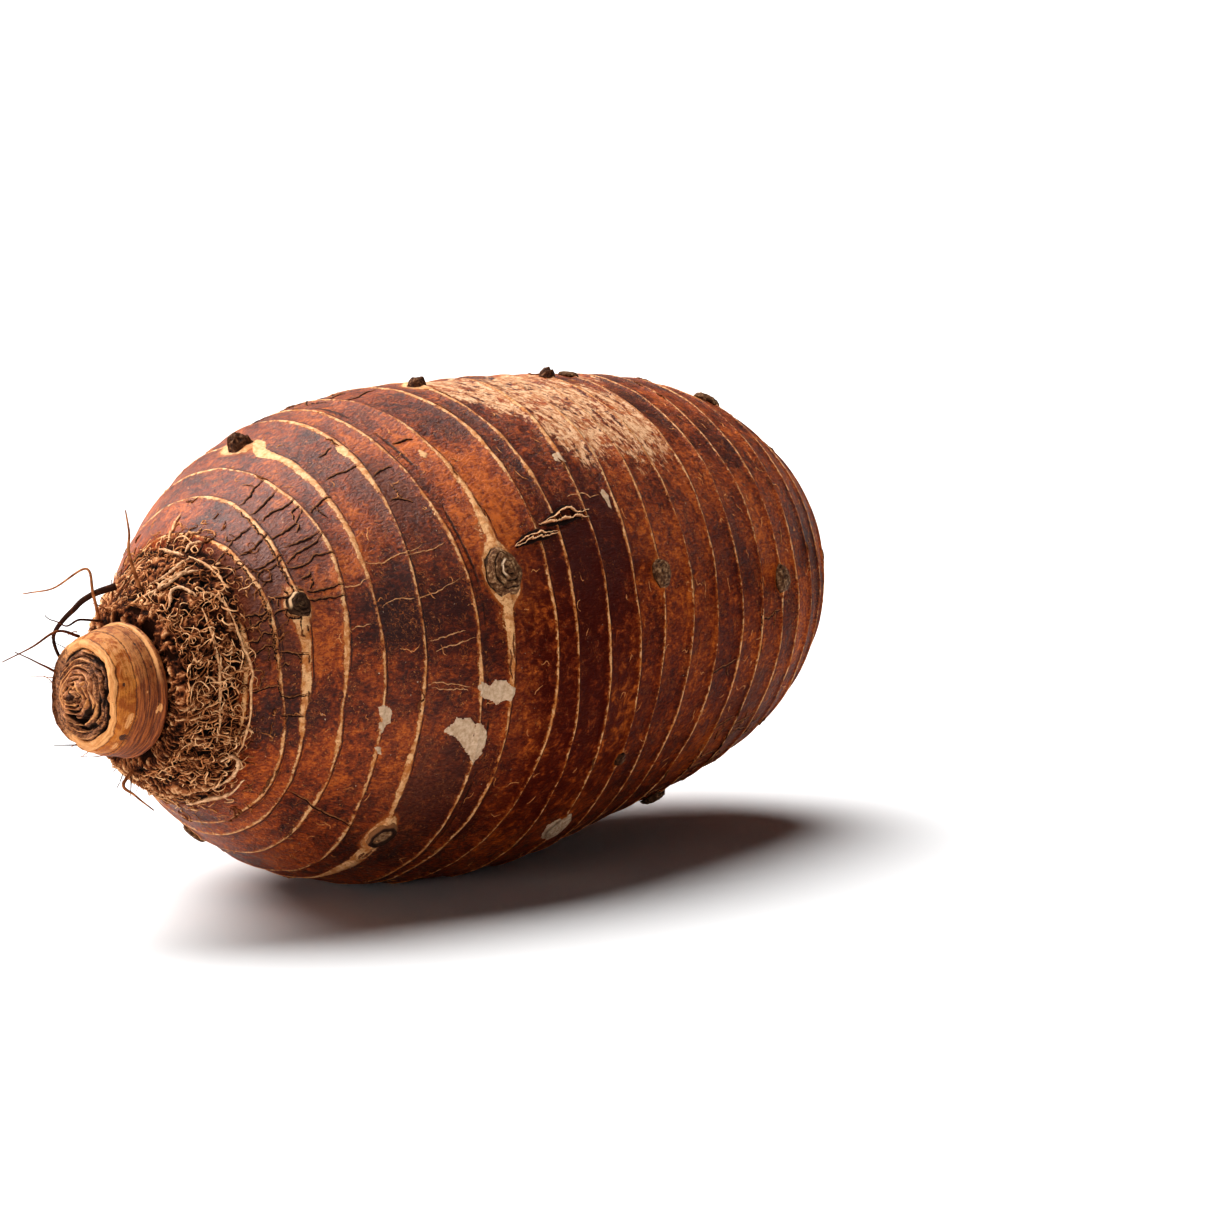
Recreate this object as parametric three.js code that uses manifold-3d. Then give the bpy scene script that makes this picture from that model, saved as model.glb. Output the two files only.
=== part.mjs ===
// Taro root: one whole corm lying on its side, with its leaf stalks cut off short at the crown.
//
// Millimetres, +Z up. The corm lies along X with the crown toward -X and the old base toward +X.
// The origin is on the small flat spot that the corm rests on, below its weight.
//
// A place on the skin is given by its station, the distance from the crown face along the corm,
// and its angle about the corm's centre line, from the top toward -Y.
import * as THREE from 'three';
import * as BufferGeometryUtils from 'three/addons/utils/BufferGeometryUtils.js';
import Module from 'manifold-3d';

const wasm = await Module();
wasm.setup();

// ---------------------------------------------------------------- driving dimensions

// Skin radius by station, from the crown face to the base scar.
const OUTLINE = [
  [0, 17], [10, 23], [25, 29], [45, 40.5], [70, 51.5], [95, 57.3], [120, 58.5],
  [147, 57], [178, 53.5], [207, 48.5], [228, 40.5], [240, 31], [247, 17],
];
const LENGTH = OUTLINE.at(-1)[0];
const BASE_SCAR_DEPTH = 2;

// The crown end leans toward -Y and rises, fading out NECK_LENGTH from the crown face.
const NECK_LENGTH = 82;
const CROWN_LEAN = 11;
const CROWN_RISE = 3.4;

// The crown face slants: its -Y side reaches further out than its +Y side. The slant fades out
// over CROWN_SLANT_REACH.
const CROWN_SLANT = THREE.MathUtils.degToRad(10);
const CROWN_SET_BACK = 2;
const CROWN_SLANT_REACH = 20;

const AXIS_SLOPE = THREE.MathUtils.degToRad(1.8);
const AXIS_MIDDLE = 100;
const BASE_RISE = 0.5;

const REST_STATION = 118;
const REST_AXIS_HEIGHT = 56.4;

// Leaf scar rings. Each ring's station is `at`, plus `up` on top and minus it underneath, plus
// `side` on the -Y side and minus it on the +Y side. Rings past the third carry one side bud.
const RINGS = [
  { at: 10, up: 0, side: -2.9 },
  { at: 16, up: 0.8, side: -2.4 },
  { at: 29.4, up: -2.1, side: -6.6 },
  { at: 37.8, up: 0.6, side: -9.5, bud: { angle: 57.5, radius: 2.6, height: 1.9 } },
  { at: 48.1, up: 2.2, side: -10.5 },
  { at: 59.9, up: -0.5, side: -13.9, bud: { angle: -12.4, radius: 2.8, height: 2.8 } },
  { at: 70.8, up: 2.1, side: -14.3, bud: { angle: 139.7, radius: 4.2, height: 1.6 } },
  { at: 81.3, up: -1, side: -9.9 },
  { at: 87, up: 2.6, side: -6.7, bud: { angle: 67.2, radius: 4.8, height: 2.9 } },
  { at: 98.3, up: 4.8, side: -5.1 },
  { at: 110.7, up: 0.1, side: -9.3, bud: { angle: 5, radius: 2, height: 1.7 } },
  { at: 129.4, up: 0.3, side: -16.8, bud: { angle: 138.4, radius: 4.3, height: 0.8 } },
  { at: 139.5, up: 0.5, side: -15, bud: { angle: 118.5, radius: 1.6, height: 0.9 } },
  { at: 150, up: 0.5, side: -15 },
  { at: 160, up: 0.5, side: -12.5, bud: { angle: 6.3, radius: 1.8, height: 1.5 } },
  { at: 171, up: 0.5, side: -11 },
  { at: 182, up: 0, side: -9.5 },
  { at: 192, up: -0.5, side: -8 },
  { at: 201.5, up: -1, side: -6.5 },
  { at: 210, up: -1, side: -5 },
  { at: 218, up: 0, side: -3.5 },
  { at: 225.5, up: 0, side: -2.5 },
  { at: 232, up: 0, side: -1.5 },
];
const RING_RIDGE_HEIGHT = 0.8;
const RING_RIDGE_HALF_WIDTH = 1.3;

// Side buds follow the leaf spiral: each ring's bud is this far round from the last one's.
const BUD_SPIRAL_START = { ring: 3, angle: 57.5 };
const BUD_SPIRAL_STEP = 145.8;
const HIDDEN_BUD = { radius: 3, height: 1.6 };
const BUD_SIDES = 9;

const SKIN_COLUMNS = 40;
const LONGEST_ROW_GAP = 10.5;
const LEAST_ROW_GAP = 0.5;

// Loose old roots at the crown, hand placed: points from the crown face's centre, in X, Y, Z.
const CROWN_ROOTS = [
  { radius: 0.9, path: [[3, 5, 22], [-1, 9, 20], [-2, 14, 16], [-2, 19, 10], [2.5, 19.5, 2.5]] },
  { radius: 0.5, path: [[3, 10, 14], [-1, 8, 20], [-2, 9, 26], [-7, 14, 22], [-11, 19, 21]] },
  { radius: 0.5, path: [[4, 17, 10], [-4, 16, 12], [-10, 18, 9], [-15, 22, 6]] },
  { radius: 0.5, path: [[4, 18, 2], [-1, 19, 2.5], [-7, 18, 5], [-13, 20, 8]] },
  { radius: 0.4, path: [[3, 9, 14], [-1, 12, 14.5], [-5, 13, 13.5], [-9, 15, 16]] },
  { radius: 0.6, path: [[8, 2, 20], [4, 2, 29], [4, 2, 34], [4, 3, 39]] },
  { radius: 0.6, path: [[5, 1, -17], [-1, 0, -20.5], [-1, -3, -22.5], [2, -6, -26]] },
];

// The mat of short dead roots round the crown, drawn at random with a fixed seed.
const MAT_ROOTS = 36;
const MAT_END_STATION = 26;
const MAT_ROOT_RADIUS = 0.75;
const MAT_ROOT_LENGTH = [9, 20];
const MAT_SEED = 7;
const ROOT_SIDES = 3;
const ROOT_STEPS = 6;
const ROOT_SINK = 2;

// Cut leaf stalks: nested sheaths, outermost first, each [outer radius, inner radius, cut height].
const STALK_GAP = 0.3;
const STALK_COLLAR_RADIUS = 14.8;
const STALK_COLLAR_LIP = 2.9;
const STALK_SHEATHS = [
  [12.6, 9.9, 13.1], [9.3, 8.1, 13.3], [7.4, 6.1, 14], [5.5, 4.4, 14.8], [3.8, 2.6, 15.5],
];
const STALK_CORE = { radius: 2, height: 16.1 };
const STALK_GROOVE_DEPTH = 2.2;
const STALK_COLUMNS = 40;
const STALK_CUT_WAVE = 0.45;

const SKIN_COLOR = 0x6b351b;
const STALK_COLOR = 0xa9703c;

// ---------------------------------------------------------------- shape of the corm

/** Smooth curve through [place, value] points, read at one place. */
function smoothThrough(points, place) {
  const last = points.length - 1;
  const held = THREE.MathUtils.clamp(place, points[0][0], points[last][0]);
  const i = Math.min(points.findLastIndex(([start]) => start <= held), last - 1);
  const span = points[i + 1][0] - points[i][0];
  const slope = (k) => {
    const [before, after] = [points[Math.max(k - 1, 0)], points[Math.min(k + 1, last)]];
    return (after[1] - before[1]) / (after[0] - before[0]);
  };
  const t = (held - points[i][0]) / span;
  return (2 * t ** 3 - 3 * t ** 2 + 1) * points[i][1]
    + (t ** 3 - 2 * t ** 2 + t) * span * slope(i)
    + (3 * t ** 2 - 2 * t ** 3) * points[i + 1][1]
    + (t ** 3 - t ** 2) * span * slope(i + 1);
}

/** Centre line of the corm at a station. */
function centreLine(station) {
  const neck = 0.5 + 0.5 * Math.cos(Math.PI * THREE.MathUtils.clamp(station / NECK_LENGTH, 0, 1));
  const beyondMiddle = Math.max(station / AXIS_MIDDLE - 1, 0);
  return new THREE.Vector3(
    station - REST_STATION,
    -CROWN_LEAN * neck,
    REST_AXIS_HEIGHT + (station - AXIS_MIDDLE) * Math.tan(AXIS_SLOPE)
      + CROWN_RISE * neck + BASE_RISE * beyondMiddle ** 2,
  );
}

/** Gentle unevenness of the girth. */
function lumps(station, angle) {
  return 0.5 * Math.sin(2 * angle + station / 23) + 0.35 * Math.sin(3 * angle - station / 17 + 1);
}

/** How far the slant of the crown face moves a place along the corm. */
function crownShift(station, sideways) {
  const fade = 1 - THREE.MathUtils.smoothstep(station, 0, CROWN_SLANT_REACH);
  return fade * (CROWN_SET_BACK + Math.tan(CROWN_SLANT) * sideways);
}

/** Middle of the crown face. */
function crownMiddle() {
  return centreLine(0).add(new THREE.Vector3(crownShift(0, 0), 0, 0));
}

/** Point on the skin, or `lift` above it. */
function skinPoint(station, angle, lift = 0) {
  const fade = THREE.MathUtils.smoothstep(station, 0, 30);
  const radius = smoothThrough(OUTLINE, station) + fade * lumps(station, angle);
  const reach = radius + lift;
  return centreLine(station).add(new THREE.Vector3(
    crownShift(station, -reach * Math.sin(angle)), -reach * Math.sin(angle), reach * Math.cos(angle),
  ));
}

/** Station of a ring or row at one angle. */
function stationAt(row, angle) {
  return row.at + row.up * Math.cos(angle) + row.side * Math.sin(angle);
}

/** Rows of the skin mesh: a foot, a crest and a foot for each ring, and smooth rows between. */
function skinRows() {
  const rows = [{ at: 0, up: 0, side: 0, lift: 0 }];
  const addBetween = (before, after) => {
    const count = Math.ceil((after.at - before.at) / LONGEST_ROW_GAP);
    for (let i = 1; i < count; i += 1) {
      const mix = (key) => THREE.MathUtils.lerp(before[key], after[key], i / count);
      rows.push({ at: mix('at'), up: mix('up'), side: mix('side'), lift: 0 });
    }
  };
  for (const { at, up, side } of RINGS) {
    addBetween(rows.at(-1), { at: at - RING_RIDGE_HALF_WIDTH, up, side });
    rows.push({ at: at - RING_RIDGE_HALF_WIDTH, up, side, lift: 0 });
    rows.push({ at, up, side, lift: RING_RIDGE_HEIGHT });
    rows.push({ at: at + RING_RIDGE_HALF_WIDTH, up, side, lift: 0 });
  }
  rows.push({ at: LENGTH - 5, up: 0, side: 0, lift: 0 });
  rows.push({ at: LENGTH, up: 0, side: 0, lift: 0 });
  return rows;
}

/** Closed solid from a geometry whose vertices at the same place are to be shared. */
function solidFrom(geometry) {
  const bare = geometry.index ? geometry : BufferGeometryUtils.mergeVertices(geometry);
  bare.deleteAttribute('normal');
  bare.deleteAttribute('uv');
  const merged = BufferGeometryUtils.mergeVertices(bare, 1e-4);
  const corners = merged.index.array;
  const kept = [];
  for (let i = 0; i < corners.length; i += 3) {
    const [a, b, c] = corners.slice(i, i + 3);
    if (a !== b && b !== c && c !== a) kept.push(a, b, c);
  }
  return new wasm.Manifold(new wasm.Mesh({
    numProp: 3,
    vertProperties: new Float32Array(merged.attributes.position.array),
    triVerts: new Uint32Array(kept),
  }));
}

/** The skin as a lathe of the rows, with each vertex moved to its place on the corm. */
function skinSolid() {
  const rows = skinRows();
  const outline = [
    new THREE.Vector2(0, 0),
    ...rows.map((row, i) => new THREE.Vector2(1, i + 1)),
    new THREE.Vector2(0, rows.length + 1),
  ];
  const lathe = new THREE.LatheGeometry(outline, SKIN_COLUMNS);
  const place = lathe.attributes.position;
  for (let column = 0; column <= SKIN_COLUMNS; column += 1) {
    const angle = (column % SKIN_COLUMNS) * 2 * Math.PI / SKIN_COLUMNS;
    const first = column * outline.length;
    place.setXYZ(first, ...crownMiddle());
    let station = -LEAST_ROW_GAP;
    rows.forEach((row, i) => {
      station = Math.max(stationAt(row, angle), station + LEAST_ROW_GAP);
      place.setXYZ(first + i + 1, ...skinPoint(Math.min(station, LENGTH), angle, row.lift));
    });
    place.setXYZ(first + rows.length + 1, ...centreLine(LENGTH - BASE_SCAR_DEPTH));
  }
  return solidFrom(lathe);
}

/** Outward direction of the skin at a place. */
function skinNormal(station, angle) {
  const step = 0.5;
  const turn = step / smoothThrough(OUTLINE, station);
  const along = skinPoint(station + step, angle).sub(skinPoint(station - step, angle));
  const around = skinPoint(station, angle + turn).sub(skinPoint(station, angle - turn));
  return around.cross(along).normalize();
}

/** Low domed side bud, its lower half sunk in the skin. */
function budSolid(station, angle, { radius, height }) {
  const dome = new THREE.SphereGeometry(1, BUD_SIDES, 6);
  const outward = new THREE.Quaternion()
    .setFromUnitVectors(new THREE.Vector3(0, 1, 0), skinNormal(station, angle));
  const size = new THREE.Vector3(radius, height + RING_RIDGE_HEIGHT, radius);
  dome.applyMatrix4(new THREE.Matrix4().compose(skinPoint(station, angle), outward, size));
  return solidFrom(dome);
}

/** One bud on each ring past the crown's, where the leaf spiral puts it. */
function budSolids() {
  const { ring: firstRing, angle: firstAngle } = BUD_SPIRAL_START;
  return RINGS.slice(firstRing).map((ring, i) => {
    const bud = ring.bud ?? { ...HIDDEN_BUD, angle: firstAngle + i * BUD_SPIRAL_STEP };
    const angle = THREE.MathUtils.degToRad(bud.angle);
    return budSolid(stationAt(ring, angle), angle, bud);
  });
}

// ---------------------------------------------------------------- roots

/** Repeatable random numbers from 0 to 1. */
function seededRandom(seed) {
  let state = seed;
  return () => {
    state = (state * 1664525 + 1013904223) % 4294967296;
    return state / 4294967296;
  };
}

/** Root that tapers along a smooth path to a point. */
function rootSolid(points, radius) {
  const path = new THREE.CatmullRomCurve3(points);
  const { normals, binormals } = path.computeFrenetFrames(ROOT_STEPS, false);
  const vertices = [path.getPointAt(0)];
  for (let step = 0; step < ROOT_STEPS; step += 1) {
    const centre = path.getPointAt(step / ROOT_STEPS);
    const thickness = radius * (1 - 0.6 * step / ROOT_STEPS);
    for (let side = 0; side < ROOT_SIDES; side += 1) {
      const turn = side * 2 * Math.PI / ROOT_SIDES;
      vertices.push(centre.clone()
        .addScaledVector(normals[step], thickness * Math.cos(turn))
        .addScaledVector(binormals[step], thickness * Math.sin(turn)));
    }
  }
  vertices.push(path.getPointAt(1));
  const corner = (step, side) => 1 + step * ROOT_SIDES + side % ROOT_SIDES;
  const faces = [];
  for (let side = 0; side < ROOT_SIDES; side += 1) {
    faces.push(0, corner(0, side + 1), corner(0, side));
    for (let step = 0; step < ROOT_STEPS - 1; step += 1) {
      const [a, b] = [corner(step, side), corner(step, side + 1)];
      const [c, d] = [corner(step + 1, side + 1), corner(step + 1, side)];
      faces.push(a, b, c, a, c, d);
    }
    faces.push(corner(ROOT_STEPS - 1, side), corner(ROOT_STEPS - 1, side + 1), vertices.length - 1);
  }
  const geometry = new THREE.BufferGeometry().setFromPoints(vertices);
  geometry.setIndex(faces);
  return solidFrom(geometry);
}

/** Loose roots at the crown, each led in from inside the corm. */
function crownRootSolids() {
  const crown = centreLine(0);
  const inside = centreLine(12);
  return CROWN_ROOTS.map(({ radius, path }) => {
    const points = path.map(([x, y, z]) => new THREE.Vector3(x, y, z).add(crown));
    return rootSolid([points[0].clone().lerp(inside, 0.35), ...points], radius);
  });
}

/** Short roots that lie over the crown, leaving the skin and ending in or just above it. */
function matRootSolids() {
  const random = seededRandom(MAT_SEED);
  const between = (low, high) => low + (high - low) * random();
  return Array.from({ length: MAT_ROOTS }, (_, i) => {
    const station = between(5, MAT_END_STATION);
    const angle = 2 * Math.PI * (i + between(0, 0.8)) / MAT_ROOTS;
    const length = between(...MAT_ROOT_LENGTH);
    const heading = between(0.15, 0.85) * Math.PI * (random() < 0.5 ? 1 : -1);
    const reach = (share, lift) => {
      const along = station - share * length * Math.cos(heading);
      const turn = share * length * Math.sin(heading) / smoothThrough(OUTLINE, station);
      return skinPoint(THREE.MathUtils.clamp(along, 2.5, MAT_END_STATION + 8), angle + turn, lift);
    };
    const points = [
      reach(0, -ROOT_SINK), reach(0.15, 0.6), reach(0.5, between(0.8, 2)),
      reach(0.8, between(0.2, 1.4)), reach(1, between(-1, 3)),
    ];
    return rootSolid(points, MAT_ROOT_RADIUS * between(0.7, 1.2));
  });
}

// ---------------------------------------------------------------- the two pieces

/** Mesh of one solid. */
function meshOf(solid, name, color, roughness) {
  const { vertProperties, triVerts } = solid.getMesh();
  const geometry = new THREE.BufferGeometry();
  geometry.setAttribute('position', new THREE.BufferAttribute(new Float32Array(vertProperties), 3));
  geometry.setIndex(new THREE.BufferAttribute(new Uint32Array(triVerts), 1));
  const flat = geometry.toNonIndexed();
  flat.computeVertexNormals();
  const mesh = new THREE.Mesh(flat, new THREE.MeshStandardMaterial({ color, roughness, metalness: 0 }));
  mesh.name = name;
  return mesh;
}

/** Corm with its buds and roots fused on, cut flat where it rests. */
function cormMesh() {
  const grown = [skinSolid(), ...budSolids(), ...crownRootSolids(), ...matRootSolids()];
  const whole = wasm.Manifold.union(grown).trimByPlane([0, 0, 1], 0);
  const [largest] = whole.decompose().sort((a, b) => b.volume() - a.volume());
  return meshOf(largest, 'corm', SKIN_COLOR, 0.75);
}

/** Profile of the cut stalks, from the crown face's centre out, over the collar and in again. */
function stalkOutline() {
  const outline = [
    [0, 0], [STALK_COLLAR_RADIUS - 0.8, 0], [STALK_COLLAR_RADIUS - 0.2, 0.5],
    [STALK_COLLAR_RADIUS, STALK_COLLAR_LIP * 0.55], [STALK_COLLAR_RADIUS - 0.4, STALK_COLLAR_LIP],
    [STALK_COLLAR_RADIUS - 0.9, 3.2], [STALK_COLLAR_RADIUS - 1.1, 8],
    [STALK_COLLAR_RADIUS - 1.4, 8.4], [STALK_COLLAR_RADIUS - 1.8, 12],
  ];
  for (const [outer, inner, height] of STALK_SHEATHS) {
    outline.push([outer, height], [inner, height], [inner - 0.2, height - STALK_GROOVE_DEPTH]);
  }
  outline.push([STALK_CORE.radius, STALK_CORE.height - 0.6], [0, STALK_CORE.height]);
  return outline;
}

/** Cut leaf stalks, standing square on the slanting crown face. */
function stalkMesh() {
  const outline = stalkOutline();
  const lathe = new THREE.LatheGeometry(
    outline.map(([radius, height]) => new THREE.Vector2(radius, height)), STALK_COLUMNS);
  const place = lathe.attributes.position;
  for (let i = 0; i < place.count; i += 1) {
    const [across, height, up] = [place.getX(i), place.getY(i), place.getZ(i)];
    const angle = Math.atan2(across, up);
    const cut = THREE.MathUtils.smoothstep(height, 6, 11);
    const onAxis = Math.hypot(across, up) < 1e-6;
    const wave = onAxis ? 0 : STALK_CUT_WAVE * cut
      * (Math.sin(2 * angle + 0.4 * height) + 0.6 * Math.sin(5 * angle + height));
    const gather = 1 + (onAxis ? 0 : 0.03 * Math.sin(2 * angle + 0.5) * Math.min(height / 6, 1));
    place.setXYZ(i, -(STALK_GAP + height + wave), -across * gather, up * gather);
  }
  lathe.index.array.reverse();
  const mesh = meshOf(solidFrom(lathe), 'leaf_stalk_stub', STALK_COLOR, 0.7);
  mesh.position.copy(crownMiddle());
  mesh.rotation.z = -CROWN_SLANT;
  return mesh;
}

const taroRoot = new THREE.Group();
taroRoot.name = 'taro_root';
taroRoot.add(cormMesh(), stalkMesh());

export default taroRoot;
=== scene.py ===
"""Looks of a whole taro corm that lies on its side, ringed with leaf scars.

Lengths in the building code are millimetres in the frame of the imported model: the corm lies along
X with its crown toward -X, and +Z is up. A place on the skin is a station, the distance from the
crown face along the corm, and an angle about the corm's centre line, from the top toward -Y.
"""

import math

import bmesh
import bpy
import numpy as np
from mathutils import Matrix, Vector, noise


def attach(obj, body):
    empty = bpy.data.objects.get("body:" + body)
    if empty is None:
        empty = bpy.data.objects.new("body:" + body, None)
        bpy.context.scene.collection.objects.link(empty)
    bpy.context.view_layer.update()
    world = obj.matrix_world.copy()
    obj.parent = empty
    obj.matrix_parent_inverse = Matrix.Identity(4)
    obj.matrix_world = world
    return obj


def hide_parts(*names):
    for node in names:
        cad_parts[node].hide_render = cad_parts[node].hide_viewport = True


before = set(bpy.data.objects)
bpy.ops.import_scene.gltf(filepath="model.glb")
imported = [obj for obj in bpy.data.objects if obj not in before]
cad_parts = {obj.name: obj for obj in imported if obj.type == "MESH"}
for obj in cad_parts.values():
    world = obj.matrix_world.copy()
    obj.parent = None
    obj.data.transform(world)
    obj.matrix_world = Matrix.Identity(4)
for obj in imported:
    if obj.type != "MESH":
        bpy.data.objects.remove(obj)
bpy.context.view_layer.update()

MM = 0.001
TAU = 2 * math.pi
# Distances in mm that stand for out of reach of any mark, and of any bud's eye.
FAR = 99.0
EYE_FAR = 9.0

# ------------------------------------------------------------------ the corm's shape

OUTLINE = np.array([
    [0, 17], [10, 23], [25, 29], [45, 40.5], [70, 51.5], [95, 57.3], [120, 58.5],
    [147, 57], [178, 53.5], [207, 48.5], [228, 40.5], [240, 31], [247, 17],
], float)
LENGTH = OUTLINE[-1, 0]
NECK_LENGTH = 82
CROWN_LEAN = 11
CROWN_RISE = 3.4
CROWN_SLANT = math.radians(10)
CROWN_SET_BACK = 2
CROWN_SLANT_REACH = 20
AXIS_SLOPE = math.radians(1.8)
AXIS_MIDDLE = 100
BASE_RISE = 0.5
REST_STATION = 118
REST_AXIS_HEIGHT = 56.4

# Leaf scar rings: the mean station of each, what it gains toward the top, and toward -Y.
RINGS = np.array([
    [10, 0, -2.9], [16, 0.8, -2.4], [29.4, -2.1, -6.6], [37.8, 0.6, -9.5], [48.1, 2.2, -10.5],
    [59.9, -0.5, -13.9], [70.8, 2.1, -14.3], [81.3, -1, -9.9], [87, 2.6, -6.7],
    [98.3, 4.8, -5.1], [110.7, 0.1, -9.3], [129.4, 0.3, -16.8], [139.5, 0.5, -15],
    [150, 0.5, -15], [160, 0.5, -12.5], [171, 0.5, -11], [182, 0, -9.5], [192, -0.5, -8],
    [201.5, -1, -6.5], [210, -1, -5], [218, 0, -3.5], [225.5, 0, -2.5], [232, 0, -1.5],
])
RING_COUNT = len(RINGS)

# Side buds by ring: angle, half length along the corm, half width round it, height.
BUDS = {
    3: (57.5, 2.6, 2.9, 1.6), 4: (203.3, 2.6, 2.8, 0.7), 5: (-12.4, 2.8, 2.8, 2.8),
    6: (139.7, 2.6, 3.9, 1.6), 8: (67.2, 4.3, 5.3, 2.7), 10: (5, 2.2, 2.0, 1.8),
    11: (138.4, 2.6, 4.4, 0.5), 12: (118.5, 1.5, 1.7, 0.8), 14: (6.3, 2.0, 1.8, 1.6),
    15: (4.6, 2.2, 2.4, 0.6),
}
FIRST_BUD_RING = 3
BUD_SPIRAL_START = 57.5
BUD_SPIRAL_STEP = 145.8
HIDDEN_BUD = (3.0, 3.2, 1.6)

# The mat of old roots ends at this mean station, further out in a lobe on the far side: the lobe's
# middle in degrees, its spread and its reach. The skin lies this much lower under the mat.
MAT_REACH = 20.6
MAT_LOBE = (-52, 0.42, 9)
MAT_DEPTH = 0.9


def smooth_step(low, high, value):
    """0 below low, 1 above high and an S between them. With low above high it falls instead."""
    t = np.clip((np.asarray(value, float) - low) / (high - low), 0, 1)
    return t * t * (3 - 2 * t)


def smooth_through(points, place):
    """Smooth curve through (place, value) points, read at each place."""
    x, y = points[:, 0], points[:, 1]
    held = np.clip(place, x[0], x[-1])
    i = np.clip(np.searchsorted(x, held, side="right") - 1, 0, len(x) - 2)
    slopes = np.empty_like(y)
    slopes[1:-1] = (y[2:] - y[:-2]) / (x[2:] - x[:-2])
    slopes[0] = (y[1] - y[0]) / (x[1] - x[0])
    slopes[-1] = (y[-1] - y[-2]) / (x[-1] - x[-2])
    span = x[i + 1] - x[i]
    t = (held - x[i]) / span
    return ((2 * t**3 - 3 * t**2 + 1) * y[i] + (t**3 - 2 * t**2 + t) * span * slopes[i]
            + (3 * t**2 - 2 * t**3) * y[i + 1] + (t**3 - t**2) * span * slopes[i + 1])


def centre_line(station):
    """Points of the corm's centre line."""
    station = np.asarray(station, float)
    neck = 0.5 + 0.5 * np.cos(math.pi * np.clip(station / NECK_LENGTH, 0, 1))
    beyond = np.clip(station / AXIS_MIDDLE - 1, 0, None)
    height = (REST_AXIS_HEIGHT + (station - AXIS_MIDDLE) * math.tan(AXIS_SLOPE)
              + CROWN_RISE * neck + BASE_RISE * beyond**2)
    return np.stack([station - REST_STATION, -CROWN_LEAN * neck, height], -1)


def lumps(station, angle):
    """Gentle unevenness of the girth."""
    return 0.5 * np.sin(2 * angle + station / 23) + 0.35 * np.sin(3 * angle - station / 17 + 1)


def outward(angle):
    """Unit vectors away from the centre line."""
    angle = np.asarray(angle, float)
    return np.stack([0 * angle, -np.sin(angle), np.cos(angle)], -1)


def skin_radius(station, angle):
    """Distance of the smooth skin from the centre line."""
    fade = smooth_step(0, 30, station)
    return smooth_through(OUTLINE, station) + fade * lumps(station, angle)


def skin_point(station, angle, lift=0.0):
    """Points on the smooth skin, or lifted above it."""
    station, angle, lift = np.broadcast_arrays(*map(np.asarray, (station, angle, lift)))
    reach = skin_radius(station, angle) + lift
    points = centre_line(station) + outward(angle) * reach[..., None]
    points[..., 0] += crown_shift(station, -np.sin(angle) * reach)
    return points


def crown_shift(station, sideways):
    """How far the slanting crown face moves a place along the corm."""
    fade = 1 - smooth_step(0, CROWN_SLANT_REACH, station)
    return fade * (CROWN_SET_BACK + math.tan(CROWN_SLANT) * sideways)


def skin_frame(station, angle):
    """Unit vectors along the skin toward the base, round it, and out of it, at one place."""
    step = 0.5
    turn = step / float(smooth_through(OUTLINE, np.array(station)))
    along = skin_point(station + step, angle) - skin_point(station - step, angle)
    around = skin_point(station, angle + turn) - skin_point(station, angle - turn)
    along /= np.linalg.norm(along)
    out = np.cross(around, along)
    out /= np.linalg.norm(out)
    return along, np.cross(along, out), out


def noise_at(points, size, seed=0):
    """Smooth noise from about -1 to 1 with features of that size, at each point."""
    shift = np.array([17.3, 41.9, 73.1]) * (seed + 1)
    flat = (np.asarray(points, float).reshape(-1, 3) / size + shift).tolist()
    values = np.fromiter((noise.noise(Vector(p)) for p in flat), float, len(flat))
    return values.reshape(np.shape(points)[:-1])


def ring_wobble(ring, angle):
    """Waver of one leaf scar ring."""
    rng = np.random.default_rng(100 + ring)
    total = np.zeros_like(angle)
    for cycles, size in ((3, 0.35), (5, 0.3), (9, 0.12), (17, 0.05), (31, 0.04)):
        total += size * np.sin(cycles * angle + rng.uniform(0, TAU))
    return total


def ring_station(ring, angle):
    """Station of a ring at each angle."""
    at, up, side = RINGS[ring]
    return at + up * np.cos(angle) + side * np.sin(angle) + ring_wobble(ring, angle)


def angle_gap(angle, middle):
    """Smallest signed turn from middle to angle."""
    return (angle - middle + math.pi) % TAU - math.pi


def spreads_off(angle, degrees, spread):
    """How far an angle lies from a direction in degrees, counted in spreads."""
    return np.degrees(angle_gap(angle, math.radians(degrees))) / spread


def bud_places():
    """(ring, station, angle, half length, half width, height) of each side bud."""
    places = []
    for ring in range(FIRST_BUD_RING, RING_COUNT):
        if ring in BUDS:
            degrees, *size = BUDS[ring]
        else:
            degrees = BUD_SPIRAL_START + (ring - FIRST_BUD_RING) * BUD_SPIRAL_STEP
            size = HIDDEN_BUD
        angle = math.radians(degrees) % TAU
        station = float(ring_station(ring, np.array(angle)))
        places.append((ring, station, angle, *size))
    return places


BUD_PLACES = bud_places()


def mat_edge(angle):
    """Station where the mat of old roots round the crown ends."""
    degrees, spread, reach = MAT_LOBE
    lobe = np.exp(-(angle_gap(angle, math.radians(degrees)) / spread) ** 2)
    return (MAT_REACH + np.cos(angle) - 5.4 * np.sin(angle) + 3.2 * np.cos(2 * angle)
            + reach * lobe)


# ------------------------------------------------------------------ marks on the skin

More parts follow.
